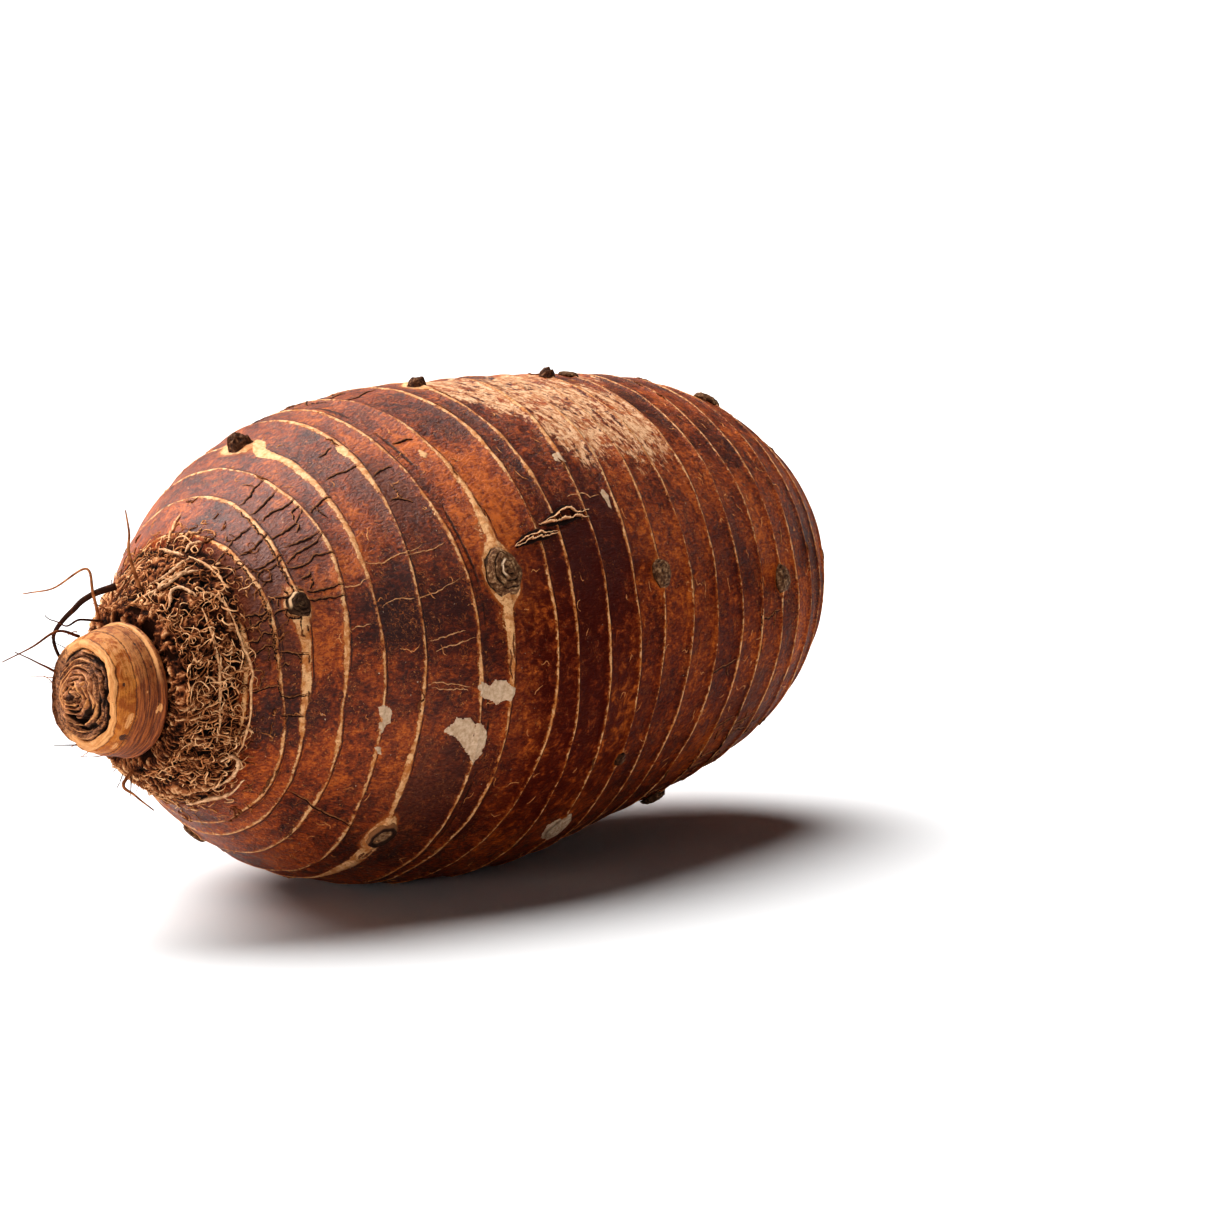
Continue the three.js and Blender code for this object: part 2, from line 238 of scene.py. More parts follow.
# Where the outer skin has peeled to its pale lining: (station, degrees) corners.
PEELED_PATCHES = {
    "by_ring_7": [
        (65.6, 100.3), (67.3, 101), (69.4, 100.8), (70.7, 102), (72.8, 102.2), (74.7, 104.6),
        (75, 108.7), (74.5, 111.8), (73.1, 113.6), (70.3, 110.2), (67.6, 107.3), (65.1, 105.8),
        (62.9, 104.8), (63.7, 103.2), (64.9, 102.4)],
    "across_ring_8": [
        (70.1, 93.4), (70.9, 92), (72.8, 92.2), (73.9, 93), (75.2, 91.9), (78.5, 92.2),
        (79.4, 93.6), (81.6, 94.3), (81, 96.7), (79.7, 97.3), (77.8, 97.6), (76.3, 98.4),
        (74.2, 97.1), (72.3, 96.4), (70.7, 95.1)],
    "on_ring_6": [
        (44.9, 97.6), (46.6, 97.4), (48.1, 97.4), (49.5, 100), (49.4, 103), (48.1, 104),
        (47.6, 106.8), (46.2, 105.8), (45.6, 103.3), (46.6, 102.3), (45.5, 99.6)],
    "small_on_ring_6": [(45.9, 111.3), (46.8, 110.3), (48.2, 110.9), (49.1, 113.6), (47.6, 113.6)],
    "star_on_ring_7": [
        (68.6, 14.6), (69.4, 16), (71, 15.4), (69.8, 17.4), (70.3, 18.6), (68.5, 19.6),
        (67.3, 21.9), (66.9, 20.2), (67.4, 16.7)],
    "wedge_by_top_bud": [
        (65.7, -9.4), (64.6, -5.2), (61.2, -1.9), (59.4, 4), (57.7, 10.7), (56.7, 15.6),
        (55.5, 21.6), (56, 12.3), (57.2, 3.3), (57.4, -2.7), (60.1, -6.7)],
    "small_by_ring_9": [(82.5, 29.1), (83.7, 29.4), (84.1, 31.5), (82.5, 32.3), (81.6, 31)],
    "by_ring_11": [
        (116.2, 41.8), (118.6, 42), (118.3, 43.7), (119.2, 45.2), (116.4, 44.9), (115.2, 43.8)],
    "flake_near_base": [(123.8, 53.9), (126.2, 53.2), (126.3, 55.6), (124.7, 59.4), (124, 57.6)],
    "low_scar": [
        (114.6, 141), (113, 136.5), (115.6, 134.6), (120, 135), (124.6, 138.5), (126, 142.5),
        (123, 145), (118, 143.5)],
}

# Those that run into a ring's line and share its peach colour.
PEACH_PATCHES = ("star_on_ring_7", "wedge_by_top_bud", "small_by_ring_9")

# How far the pale eye of a bud reaches past it: along the corm, and round it.
EYE_MARGINS = {3: (0.35, 1.6), 5: (0.5, 3.0), 6: (0.5, 2.2), 8: (0.55, 3.0), 10: (0.6, 2.5)}

# Where a ring's pale line is wider: (ring, degrees, added half width, spread in degrees).
WIDE_STRETCHES = [
    (3, 64, 1.1, 9), (3, 84, 0.75, 16), (4, 80, 0.25, 20), (5, 8, 0.9, 16), (5, 36, 0.35, 12),
    (6, 118, 0.6, 9), (6, 146, 1.6, 9), (6, 160, 1.3, 12), (6, 24, 0.3, 9), (8, 57, 0.9, 9),
    (8, 76, 0.9, 8), (8, 88, 0.55, 12), (8, 40, 0.35, 10), (7, 93, 0.4, 6), (9, 20, 0.3, 12),
    (10, 10, 0.35, 18), (11, 28, 0.4, 16), (9, 31, 0.4, 4), (9, 41, 0.3, 3), (10, 33, 0.35, 4),
    (10, 45, 0.35, 2.5), (11, 40, 0.5, 4), (12, 34, 0.3, 6), (5, 100, 0.3, 5), (4, 112, 0.35, 5),
    (3, 108, 0.4, 5), (2, 60, 0.35, 22), (4, 20, 0.3, 14), (2, 22, 0.3, 20), (3, 28, 0.3, 22),
    (6, 12, 0.25, 20), (7, 6, 0.25, 16), (1, 60, 0.3, 40),
]

# Broad tone of the skin, from -1 for dark plum to 1 for rust: (station, degrees, tone, spread
# along, spread in degrees).
TONE_PATCHES = [
    (27, 28, -0.9, 9, 26), (39, 30, -0.7, 6, 16), (45, 12, 0.5, 7, 13), (33, 85, 0.5, 7, 16),
    (31, 66, 0.55, 6, 12), (28, 100, -0.5, 6, 14), (39, 96, -0.45, 6, 16), (66, 36, -0.9, 6, 17),
    (57, 40, 0.45, 5, 14), (48, 50, 1.5, 6, 12), (62, 20, 0.2, 6, 9), (62, 76, -1.0, 9, 15),
    (52, 70, -0.75, 8, 12), (46, 110, 0.35, 9, 14), (74, 122, -0.7, 9, 13), (60, 108, 0.3, 7, 12),
    (84, 46, 0.75, 7, 15), (86, 30, 0.6, 7, 10), (92, 52, 0.6, 7, 12), (72, 66, -0.4, 6, 12),
    (92, 74, 0.35, 7, 9), (82, 92, 0.5, 6, 13), (90, 104, 0.6, 9, 14), (101, 68, -0.9, 8, 12),
    (111, 74, -1.0, 9, 14), (112, 60, -0.6, 8, 8), (120, 96, 0.5, 10, 14), (100, 24, -0.4, 8, 7),
    (76, 8, 0.1, 9, 9), (85, 14, 0.6, 8, 10), (50, -10, -0.3, 8, 12), (118, 120, 0.4, 12, 14),
    (88, 130, 0.1, 9, 10), (60, 150, -0.6, 9, 12), (38, 118, 0.25, 8, 13), (170, 60, 0.3, 30, 40),
    (190, 200, -0.3, 40, 50), (120, 230, 0.3, 30, 40), (80, 260, -0.3, 25, 35),
    (50, 300, 0.3, 20, 30), (150, 320, 0.3, 30, 30), (38, 56, 0.9, 5, 8),
]

# Worn stretches, where the skin is scuffed to a mottled beige: station, degrees, strength, spreads.
WORN_PATCHES = [
    (132, 18, 1.0, 22, 24), (150, 32, 1.0, 22, 26), (116, 8, 0.8, 12, 14), (122, 46, 0.65, 9, 14),
    (95, 19, 0.6, 5, 5), (175, -10, 0.8, 26, 40), (200, 60, 0.5, 22, 36), (215, 170, 0.6, 20, 50),
    (150, 200, 0.5, 26, 30), (110, 290, 0.5, 20, 26), (232, 300, 0.8, 16, 60),
]

# Stretches of plates broken by dark cracks.
PLATED_PATCHES = [
    (35, 30, 1.3, 9, 22), (22, 42, 1.3, 7, 28), (42, 14, 0.7, 5, 10), (68, 32, 0.4, 6, 12),
    (33, 50, 0.7, 7, 9), (20, 60, 0.6, 5, 20), (60, 255, 0.8, 16, 26), (130, 215, 0.5, 20, 24),
    (105, 330, 0.5, 18, 20), (190, 120, 0.5, 20, 26),
]

# Stretches as mauve as the plates, but whole; the mauve is partly their colour and partly a painted
# sheen.
DULL_SHEEN_PATCHES = [
    (66, 34, 0.9, 7, 18), (52, 14, 0.5, 6, 14), (84, 4, 0.5, 8, 12), (100, 22, 0.4, 7, 8),
    (62, 120, 0.6, 14, 18),
]

# Stretches where the skin is smooth and a deep dark red, partly its own colour and partly painted
# shade.
DEEP_RED_AND_SHADE_PATCHES = [
    (104, 84, 1.0, 16, 26), (114, 112, 1.0, 22, 30), (98, 122, 0.7, 14, 16), (118, 66, 0.9, 14, 14),
    (64, 78, 0.4, 10, 16), (76, 128, 0.5, 12, 14), (165, 100, 0.6, 30, 45), (88, 84, 0.55, 9, 20),
]


def blobs(patches, station, angle):
    """Sum of soft patches: (station, degrees, strength, spread along, spread in degrees)."""
    total = np.zeros_like(station)
    for at, degrees, strength, length, width in patches:
        across = spreads_off(angle, degrees, width)
        total += strength * np.exp(-((station - at) / length) ** 2 - across**2)
    return total


def outline_distance(corners, x, y):
    """Distance in mm from a closed outline of (x, y) corners, negative inside."""
    closest = np.full(x.shape, FAR)
    inside = np.zeros(x.shape, bool)
    for (ax, ay), (bx, by) in zip(corners, np.roll(corners, -1, axis=0)):
        ex, ey = bx - ax, by - ay
        t = np.clip(((x - ax) * ex + (y - ay) * ey) / (ex * ex + ey * ey), 0, 1)
        closest = np.minimum(closest, np.hypot(x - ax - t * ex, y - ay - t * ey))
        slope = ey if abs(ey) > 1e-9 else 1e-9
        inside ^= ((ay > y) != (by > y)) & (x < ax + ex * (y - ay) / slope)
    return np.where(inside, -closest, closest)


# ------------------------------------------------------------------ mesh helpers


def add_object(name, points, faces, material, values=None, node=None, smooth=True):
    """Mesh object from points in mm, riding on the corm's body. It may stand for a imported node."""
    mesh = bpy.data.meshes.new(name)
    mesh.from_pydata((np.asarray(points, float).reshape(-1, 3) * MM).tolist(), [], faces)
    mesh.update()
    mesh.polygons.foreach_set("use_smooth", [smooth] * len(mesh.polygons))
    mesh.materials.append(material)
    for key, numbers in (values or {}).items():
        layer = mesh.attributes.new(key, "FLOAT", "POINT")
        layer.data.foreach_set("value", np.asarray(numbers, np.float32).ravel())
    piece = bpy.data.objects.new(name, mesh)
    bpy.context.scene.collection.objects.link(piece)
    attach(piece, "root")
    if node:
        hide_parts(node)
    return piece


def fix_normals(piece):
    """Turns every face outward."""
    work = bmesh.new()
    work.from_mesh(piece.data)
    bmesh.ops.recalc_face_normals(work, faces=work.faces)
    work.to_mesh(piece.data)
    work.free()


def grid_faces(rows, columns, start=0):
    """Quads of a grid whose columns run round a loop."""
    i, j = np.meshgrid(np.arange(rows - 1), np.arange(columns), indexing="ij")
    k = (j + 1) % columns
    quads = np.stack([i * columns + j, i * columns + k, (i + 1) * columns + k,
                      (i + 1) * columns + j], -1)
    return (quads.reshape(-1, 4) + start).tolist()


def closed_faces(rows, columns, start=0):
    """Quads of such a grid, and a face over the loop at each of its ends."""
    first = list(range(start, start + columns))
    last = [number + (rows - 1) * columns for number in first]
    return grid_faces(rows, columns, start) + [first[::-1], last]


def tube_batch(paths, radii, sides):
    """Points and faces of many tapered tubes. paths is (tubes, steps, 3), radii (tubes, steps)."""
    tubes, steps, _ = paths.shape
    tangent = np.gradient(paths, axis=1)
    tangent /= np.linalg.norm(tangent, axis=-1, keepdims=True) + 1e-9
    helper = np.where(np.abs(tangent[..., 2:]) > 0.9, [1.0, 0, 0], [0, 0, 1.0])
    side = np.cross(tangent, helper)
    side /= np.linalg.norm(side, axis=-1, keepdims=True) + 1e-9
    other = np.cross(tangent, side)
    turn = np.arange(sides) * TAU / sides
    loop = side[..., None, :] * np.cos(turn)[:, None] + other[..., None, :] * np.sin(turn)[:, None]
    points = paths[..., None, :] + loop * radii[..., None, None]
    faces = []
    for tube in range(tubes):
        faces += closed_faces(steps, sides, tube * steps * sides)
    return points.reshape(-1, 3), faces


def smooth_path(points, steps):
    """Catmull-Rom curve through points, as that many points."""
    points = np.asarray(points, float)
    padded = np.vstack([2 * points[0] - points[1], points, 2 * points[-1] - points[-2]])
    t = np.linspace(0, len(points) - 1 - 1e-9, steps)
    i = t.astype(int)
    f = (t - i)[:, None]
    a, b, c, d = padded[i], padded[i + 1], padded[i + 2], padded[i + 3]
    return 0.5 * (2 * b + (c - a) * f + (2 * a - 5 * b + 4 * c - d) * f**2
                  + (3 * b - a - 3 * c + d) * f**3)


# ------------------------------------------------------------------ material helpers


class Shader:
    """A principled material whose node graph is built by short calls."""

    def __init__(self, name):
        self.material = bpy.data.materials.new(name)
        self.material.use_nodes = True
        self.nodes = self.material.node_tree.nodes
        self.links = self.material.node_tree.links
        self.principled = self.nodes["Principled BSDF"]
        place = self.nodes.new("ShaderNodeTexCoord")
        self.place = self.vector("SCALE", place.outputs["Object"], scale=1 / MM)

    def feed(self, socket, value):
        """Links an output to a socket, or sets the socket's number or colour."""
        if isinstance(value, bpy.types.NodeSocket):
            self.links.new(value, socket)
        elif isinstance(value, tuple) and len(value) == 3 and socket.type == "RGBA":
            socket.default_value = (*value, 1)
        else:
            socket.default_value = value

    def __getitem__(self, name):
        """Number stored on the mesh."""
        node = self.nodes.new("ShaderNodeAttribute")
        node.attribute_name = name
        return node.outputs["Fac"]

    def vector(self, operation, a, b=None, scale=None):
        """Vector arithmetic."""
        node = self.nodes.new("ShaderNodeVectorMath")
        node.operation = operation
        self.feed(node.inputs[0], a)
        if b is not None:
            self.feed(node.inputs[1], b)
        if scale is not None:
            self.feed(node.inputs["Scale"], scale)
        return node.outputs[0]

    def math(self, operation, a, b=0.5, c=None):
        """Number arithmetic."""
        node = self.nodes.new("ShaderNodeMath")
        node.operation = operation
        self.feed(node.inputs[0], a)
        self.feed(node.inputs[1], b)
        if c is not None:
            self.feed(node.inputs[2], c)
        return node.outputs[0]

    def times(self, a, b):
        """Product of two numbers."""
        return self.math("MULTIPLY", a, b)

    def centred(self, field):
        """Noise from -0.5 to 0.5."""
        return self.math("SUBTRACT", field, 0.5)

    def stir(self, field, strength, number):
        """The number, moved up and down by noise."""
        return self.math("MULTIPLY_ADD", self.centred(field), strength, number)

    def noise(self, size, detail, roughness, seed, distortion=0, stretch=(1, 1, 1)):
        """Noise from 0 to 1 with features of that size in mm, stretched along each axis."""
        node = self.nodes.new("ShaderNodeTexNoise")
        squeeze = tuple(1 / (size * s) for s in stretch)
        spread = self.vector("MULTIPLY", self.place, squeeze)
        shift = (seed * 7.3, seed * 3.1, seed * 5.7)
        self.feed(node.inputs["Vector"], self.vector("ADD", spread, shift))
        self.feed(node.inputs["Scale"], 1.0)
        self.feed(node.inputs["Detail"], detail)
        self.feed(node.inputs["Roughness"], roughness)
        self.feed(node.inputs["Distortion"], distortion)
        return node.outputs[0]

    def ramp(self, value, low, high, to_low=0.0, to_high=1.0):
        """Maps low..high to to_low..to_high in an S, held at the ends."""
        node = self.nodes.new("ShaderNodeMapRange")
        node.interpolation_type = "SMOOTHSTEP"
        for socket, number in zip(node.inputs, (value, low, high, to_low, to_high)):
            self.feed(socket, number)
        return node.outputs[0]

    def mix(self, share, a, b, strength=1):
        """Colour a, giving way to b by the share times the strength."""
        node = self.nodes.new("ShaderNodeMix")
        node.data_type = "RGBA"
        self.feed(node.inputs[0], share if strength == 1 else self.times(share, strength))
        self.feed(node.inputs[6], a)
        self.feed(node.inputs[7], b)
        return node.outputs[2]

    def tones(self, value, stops):
        """Colour band: (place from 0 to 1, colour) stops."""
        node = self.nodes.new("ShaderNodeValToRGB")
        band = node.color_ramp.elements
        while len(band) < len(stops):
            band.new(0.5)
        for element, (position, colour) in zip(band, stops):
            element.position = position
            element.color = (*colour, 1)
        self.feed(node.inputs[0], value)
        return node.outputs[0]

    def bump(self, height, depth):
        """Fine relief: height from 0 to 1 stands for that depth in mm."""
        node = self.nodes.new("ShaderNodeBump")
        self.feed(node.inputs["Height"], height)
        self.feed(node.inputs["Distance"], depth * MM)
        self.feed(node.inputs["Strength"], 1.0)
        return node.outputs[0]

    def finish(self, colour, roughness, normal=None, specular=0.5):
        """Connects the surface and gives back the material."""
        self.feed(self.principled.inputs["Base Color"], colour)
        self.feed(self.principled.inputs["Roughness"], roughness)
        self.feed(self.principled.inputs["Specular IOR Level"], specular)
        if normal is not None:
            self.feed(self.principled.inputs["Normal"], normal)
        return self.material


# ------------------------------------------------------------------ skin

SKIN_COLUMNS = 470
RING_ROWS = (-1.4, -0.5, 0.0, 0.5, 1.4)
MAX_ROW_GAP = 3.0
LINE_HALF_WIDTH = 0.26
FURROW_OFFSET = 0.8
CAP_SHARES = (0.93, 0.84, 0.72, 0.58, 0.42, 0.26, 0.12, 0.02)
BASE_SCAR_DEPTH = 2


def skin_stations(angle):
    """Stations of the skin's rows, (rows, columns): they follow the rings and fill in between."""
    rows = [np.zeros_like(angle)]

    def fill(target):
        before = rows[-1]
        count = max(1, math.ceil(float(np.mean(target - before)) / MAX_ROW_GAP))
        for step in range(1, count + 1):
            rows.append(before + (target - before) * step / count)

    for ring in range(RING_COUNT):
        line = ring_station(ring, angle)
        fill(line + RING_ROWS[0])
        rows.extend(line + offset for offset in RING_ROWS[1:])
    fill(np.full_like(angle, LENGTH))
    stations = np.maximum.accumulate(np.clip(rows, 0, LENGTH), axis=0)
    spread = np.arange(len(rows))[:, None] * 1e-3
    return np.clip(stations + spread, 0, LENGTH)


def ring_marks(station, angle):
    """Distance from the nearest ring, the side it lies on, half width of its pale line, band tone."""
    nearest = np.full(station.shape, FAR)
    side = np.zeros(station.shape)
    width = np.full(station.shape, LINE_HALF_WIDTH)
    band = np.zeros(station.shape, int)
    for ring in range(RING_COUNT):
        gap = station - ring_station(ring, angle)
        closer = np.abs(gap) < nearest
        band += gap > 0
        rng = np.random.default_rng(300 + ring)
        own = LINE_HALF_WIDTH * (1 + 0.4 * np.sin(4 * angle + rng.uniform(0, TAU))
                                 + 0.35 * np.sin(11 * angle + rng.uniform(0, TAU)))
        for which, degrees, extra, spread in WIDE_STRETCHES:
            if which == ring:
                own = own + extra * np.exp(-spreads_off(angle, degrees, spread) ** 2)
        nearest = np.where(closer, np.abs(gap), nearest)
        side = np.where(closer, np.clip(gap / 0.45, -1, 1), side)
        width = np.where(closer, own, width)
    phase = np.random.default_rng(5).uniform(0, TAU, (3, RING_COUNT + 1))[:, band]
    tone = 0.5 * np.sin(2 * angle + phase[0]) + 0.5 * np.sin(5 * angle + phase[1])
    return nearest, side, width, tone + 0.3 * np.sin(9 * angle + phase[2])


def bud_eyes(station, angle):
    """Distance in mm outside the pale eye round each bud, negative inside."""
    distance = np.full(station.shape, EYE_FAR)
    for ring, at, turn, length, width, _ in BUD_PLACES:
        reach = float(smooth_through(OUTLINE, at))
        along, around = EYE_MARGINS.get(ring, (0.0, 0.2))
        x = (station - at) / (length + along)
        y = angle_gap(angle, turn) * reach / (width + around)
        distance = np.minimum(distance, (np.hypot(x, y) - 1) * (length + along))
    return distance


def skin_fields(station, angle):
    """Relief of the skin in mm, and the marks that its colour follows."""
    flat = skin_point(station, angle)
    ring_gap, side, line_width, band_tone = ring_marks(station, angle)
    eyes = bud_eyes(station, angle)
    mat = smooth_step(2.5, -3, station - mat_edge(angle))
    broad = noise_at(flat, 26, 3)
    relief = 0.42 * broad + 0.22 * noise_at(flat, 8, 4)
    ridge = np.exp(-(ring_gap / (0.55 + 0.5 * line_width)) ** 2)
    relief += (0.5 + 0.2 * broad) * ridge * (1 - mat)
    relief += 0.5 * smooth_step(1.5, -1.5, eyes)
    relief -= MAT_DEPTH * mat
    relief *= smooth_step(0, 4, station)
    marks = {
        "ring_gap": ring_gap, "side": side, "line_width": line_width, "eye": eyes,
        "mat": mat, "tone": blobs(TONE_PATCHES, station, angle) + 0.45 * band_tone,
        "worn": np.clip(blobs(WORN_PATCHES, station, angle) * (1 + 0.28 * band_tone), 0, 1.05),
        "deep": np.clip(blobs(DEEP_RED_AND_SHADE_PATCHES, station, angle), 0, 1),
        "plate": np.clip(blobs(PLATED_PATCHES + DULL_SHEEN_PATCHES, station, angle), 0, 1),
        "sheen": (0.27 * smooth_step(0.1, 0.8, np.cos(angle)) + 0.19 * smooth_step(95, 45, station))
        * smooth_step(1, 6, station - mat_edge(angle)),
        "scar": smooth_step(LENGTH - 5, LENGTH, station),
    }
    return relief, marks


def surface_point(station, angle, lift=0.0):
    """Points on the finished skin, ridges and hollows included, or lifted above it."""
    places = (np.asarray(values, float) for values in (station, angle, lift))
    station, angle, lift = np.broadcast_arrays(*places)
    points = skin_point(station, angle, skin_fields(station, angle)[0] + lift)
    points[..., 2] = np.maximum(points[..., 2], 0)
    return points


CROWN_MARKS = {"ring_gap": 9, "side": 1, "line_width": 0.1, "eye": EYE_FAR, "mat": 1, "tone": 0,
               "worn": 0, "deep": 0, "plate": 0, "sheen": 0, "scar": 0}
BASE_MARKS = {**CROWN_MARKS, "mat": 0, "tone": -0.2, "worn": 0.3, "scar": 1}


def build_skin():
    """The corm's skin: rows that follow the rings, raised by them, with a cap at each end."""
    angle = np.arange(SKIN_COLUMNS) * TAU / SKIN_COLUMNS
    station = skin_stations(angle)
    angle = np.broadcast_to(angle, station.shape)
    relief, marks = skin_fields(station, angle)
    crown = [skin_cap(0, angle[0], share, 0) for share in reversed(CAP_SHARES)]
    base = [skin_cap(LENGTH, angle[0], share, BASE_SCAR_DEPTH) for share in CAP_SHARES]
    whole = np.concatenate([crown, skin_point(station, angle, relief), base])
    whole[..., 2] = np.maximum(whole[..., 2], 0)
    cap_rows = np.ones((len(CAP_SHARES), SKIN_COLUMNS))
    values = {key: np.concatenate([cap_rows * CROWN_MARKS[key], field, cap_rows * BASE_MARKS[key]])
              for key, field in marks.items()}
    add_object("corm_skin", whole, closed_faces(len(whole), SKIN_COLUMNS), skin_material(), values,
               node="corm")


def skin_cap(end, angle, share, depth):
    """One loop of an end face. An end with a depth is a rough, hollow scar."""
    reach = skin_radius(np.full(SKIN_COLUMNS, end), angle) * share
    cap = centre_line(end - depth * smooth_step(1, 0.6, share)) + outward(angle) * reach[:, None]
    cap[:, 0] += crown_shift(end, -np.sin(angle) * reach)
    if depth:
        cap[:, 0] += 1.2 * noise_at(cap, 4, 5) + 0.7 * noise_at(cap, 1.6, 6)
    return cap


PLUM = (0.042, 0.0115, 0.0085)
DARK_BROWN = (0.105, 0.0205, 0.0090)
MAUVE = (0.23, 0.074, 0.038)
RED_BROWN = (0.27, 0.049, 0.0125)
RUST = (0.60, 0.148, 0.0240)
DEEP_RED_AND_SHADE = (0.062, 0.0040, 0.0006)
PALE_LINE = (0.88, 0.50, 0.24)
LINE_SHADE = (0.60, 0.23, 0.065)
LINE_EDGE = (0.40, 0.10, 0.018)
LINE_ORANGE = (0.52, 0.165, 0.035)
SCRATCH = (0.52, 0.150, 0.035)
PEELED_LINING = (0.62, 0.45, 0.31)
WORN_BEIGE = (0.82, 0.49, 0.28)
WORN_TAN = (0.46, 0.175, 0.064)
CRACK_DARK = (0.018, 0.006, 0.004)
SOIL = (0.018, 0.006, 0.003)
CORK_DARK = (0.030, 0.010, 0.005)
CORK_LIGHT = (0.30, 0.125, 0.050)
# The skin's specular level varies. This stands for it where one number has to do.
EVEN_SPECULAR = 0.12


def skin_ground(s, cloud, mottle, grain):
    """Plum to rust in soft patches, with scratches and specks, plates partly a painted sheen, and
    smooth deep stretches partly painted shade.
    """
    tone = s.math("MULTIPLY_ADD", s["tone"], 0.27, 0.465)
    for field, strength in ((cloud, 1.0), (mottle, 1.2), (grain, 1.2)):
        tone = s.stir(field, strength, tone)
    colour = s.tones(tone, [(0.16, PLUM), (0.38, DARK_BROWN), (0.60, RED_BROWN), (0.90, RUST)])

    # Thin orange scratches, and small pale and dark specks.
    for seed, size in ((6, 3.4), (15, 2.2)):
        scratch = s.math("ABSOLUTE", s.centred(s.noise(size, 3, 0.55, seed, 1.6)))
        scratch = s.times(s.ramp(scratch, 0.014, 0.005),
                          s.ramp(s.noise(5, 3, 0.6, seed + 1), 0.49, 0.59))
        colour = s.mix(scratch, colour, SCRATCH, 0.75)
    dots = s.times(s.ramp(s.noise(0.55, 1, 0.5, 16), 0.66, 0.71),
                   s.ramp(s.noise(7, 3, 0.6, 17), 0.46, 0.58))
    colour = s.mix(dots, colour, LINE_SHADE, 0.8)
    speck = s.noise(0.8, 2, 0.5, 4)
    colour = s.mix(s.ramp(speck, 0.745, 0.775), colour, PEELED_LINING)
    colour = s.mix(s.ramp(speck, 0.30, 0.24), colour, CRACK_DARK, 0.85)

    # Duller and mauve on the plates, partly a painted sheen.
    dull = s.times(s["plate"], s.ramp(tone, 0.75, 0.45, 0.25, 0.8))
    colour = s.mix(dull, colour, s.mix(s.ramp(grain, 0.35, 0.65), DARK_BROWN, MAUVE))
    # Deeper and redder where the skin is smoothest, partly its colour and partly painted shade.
    deep = s.times(s["deep"], s.ramp(mottle, 0.76, 0.42))
    return s.mix(deep, colour, DEEP_RED_AND_SHADE, 0.90)


def worn_skin(s):
    """Where the skin is worn, and its mottled beige. Brown skin is left in specks and streaks."""
    scuff = s.noise(2.4, 8, 0.72, 8, 0.5, (0.7, 1.2, 1.2))
    drift = s.centred(s.noise(8, 4, 0.6, 19, 0, (0.6, 1.4, 1.4)))
    worn = s.math("MULTIPLY_ADD", s["worn"], 0.52, s.times(drift, 0.5))
    worn = s.ramp(s.math("SUBTRACT", worn, scuff), -0.03, 0.04)
    beige = s.ramp(s.noise(1.8, 5, 0.7, 9, 0.4, (0.8, 1.2, 1.2)), 0.42, 0.60)
    beige = s.mix(beige, WORN_BEIGE, WORN_TAN)
    beige = s.mix(s.ramp(s["worn"], 0.95, 0.6, 0.0, 0.9), beige, WORN_TAN)
    return worn, beige


def ring_lines(s, colour, cloud, mottle, grain, ragged):
    """A pale line along each ring, orange at its ragged edges, with a dark furrow beside it, partly
    crack and partly painted shade.
    """
    off_mat = s.ramp(s["mat"], 0.85, 0.45)
    near_line = s.math("MULTIPLY_ADD", ragged, 1.0, s["ring_gap"])
    near_line = s.stir(s.noise(0.8, 3, 0.7, 10), 1.15, near_line)
    faint = s.noise(3.2, 4, 0.65, 18)
    near_line = s.math("ADD", near_line, s.ramp(faint, 0.42, 0.32, 0.0, 0.34))
    beside = s.math("SUBTRACT", near_line, s["line_width"])
    glow = s.times(s.times(s.ramp(beside, 0.42, 0.0), 0.75), off_mat)
    colour = s.mix(glow, colour, LINE_EDGE)
    # The furrow's dark is partly a crack and partly painted shade beside the ring's ridge.
    furrow = s.math("MULTIPLY_ADD", s["side"], s["ring_gap"], -FURROW_OFFSET)
    widening = s.math("SUBTRACT", s["line_width"], LINE_HALF_WIDTH)
    furrow = s.math("MULTIPLY_ADD", ragged, 0.5, s.math("SUBTRACT", furrow, widening))
    furrow = s.times(s.ramp(s.math("ABSOLUTE", furrow), 0.22, 0.05), s.ramp(s["ring_gap"], 2.4, 1.9))
    furrow = s.times(s.times(furrow, s.ramp(cloud, 0.44, 0.54)), off_mat)
    colour = s.mix(furrow, colour, CRACK_DARK, 0.85)
    eye = s.math("MULTIPLY_ADD", ragged, 1.5, s["eye"])
    colour = s.mix(s.ramp(eye, 0.9, 0.2), colour, LINE_EDGE, 0.8)
    line = s.math("MAXIMUM", s.ramp(beside, 0.10, -0.08), s.ramp(eye, 0.15, -0.2))
    line = s.times(line, off_mat)
    pale = s.mix(s.ramp(mottle, 0.42, 0.66), PALE_LINE, LINE_SHADE)
    pale = s.mix(s.ramp(grain, 0.55, 0.68), pale, LINE_EDGE, 0.7)
    pale = s.mix(s.ramp(faint, 0.52, 0.40), pale, LINE_ORANGE, 0.75)
    return s.mix(line, colour, pale), line, furrow


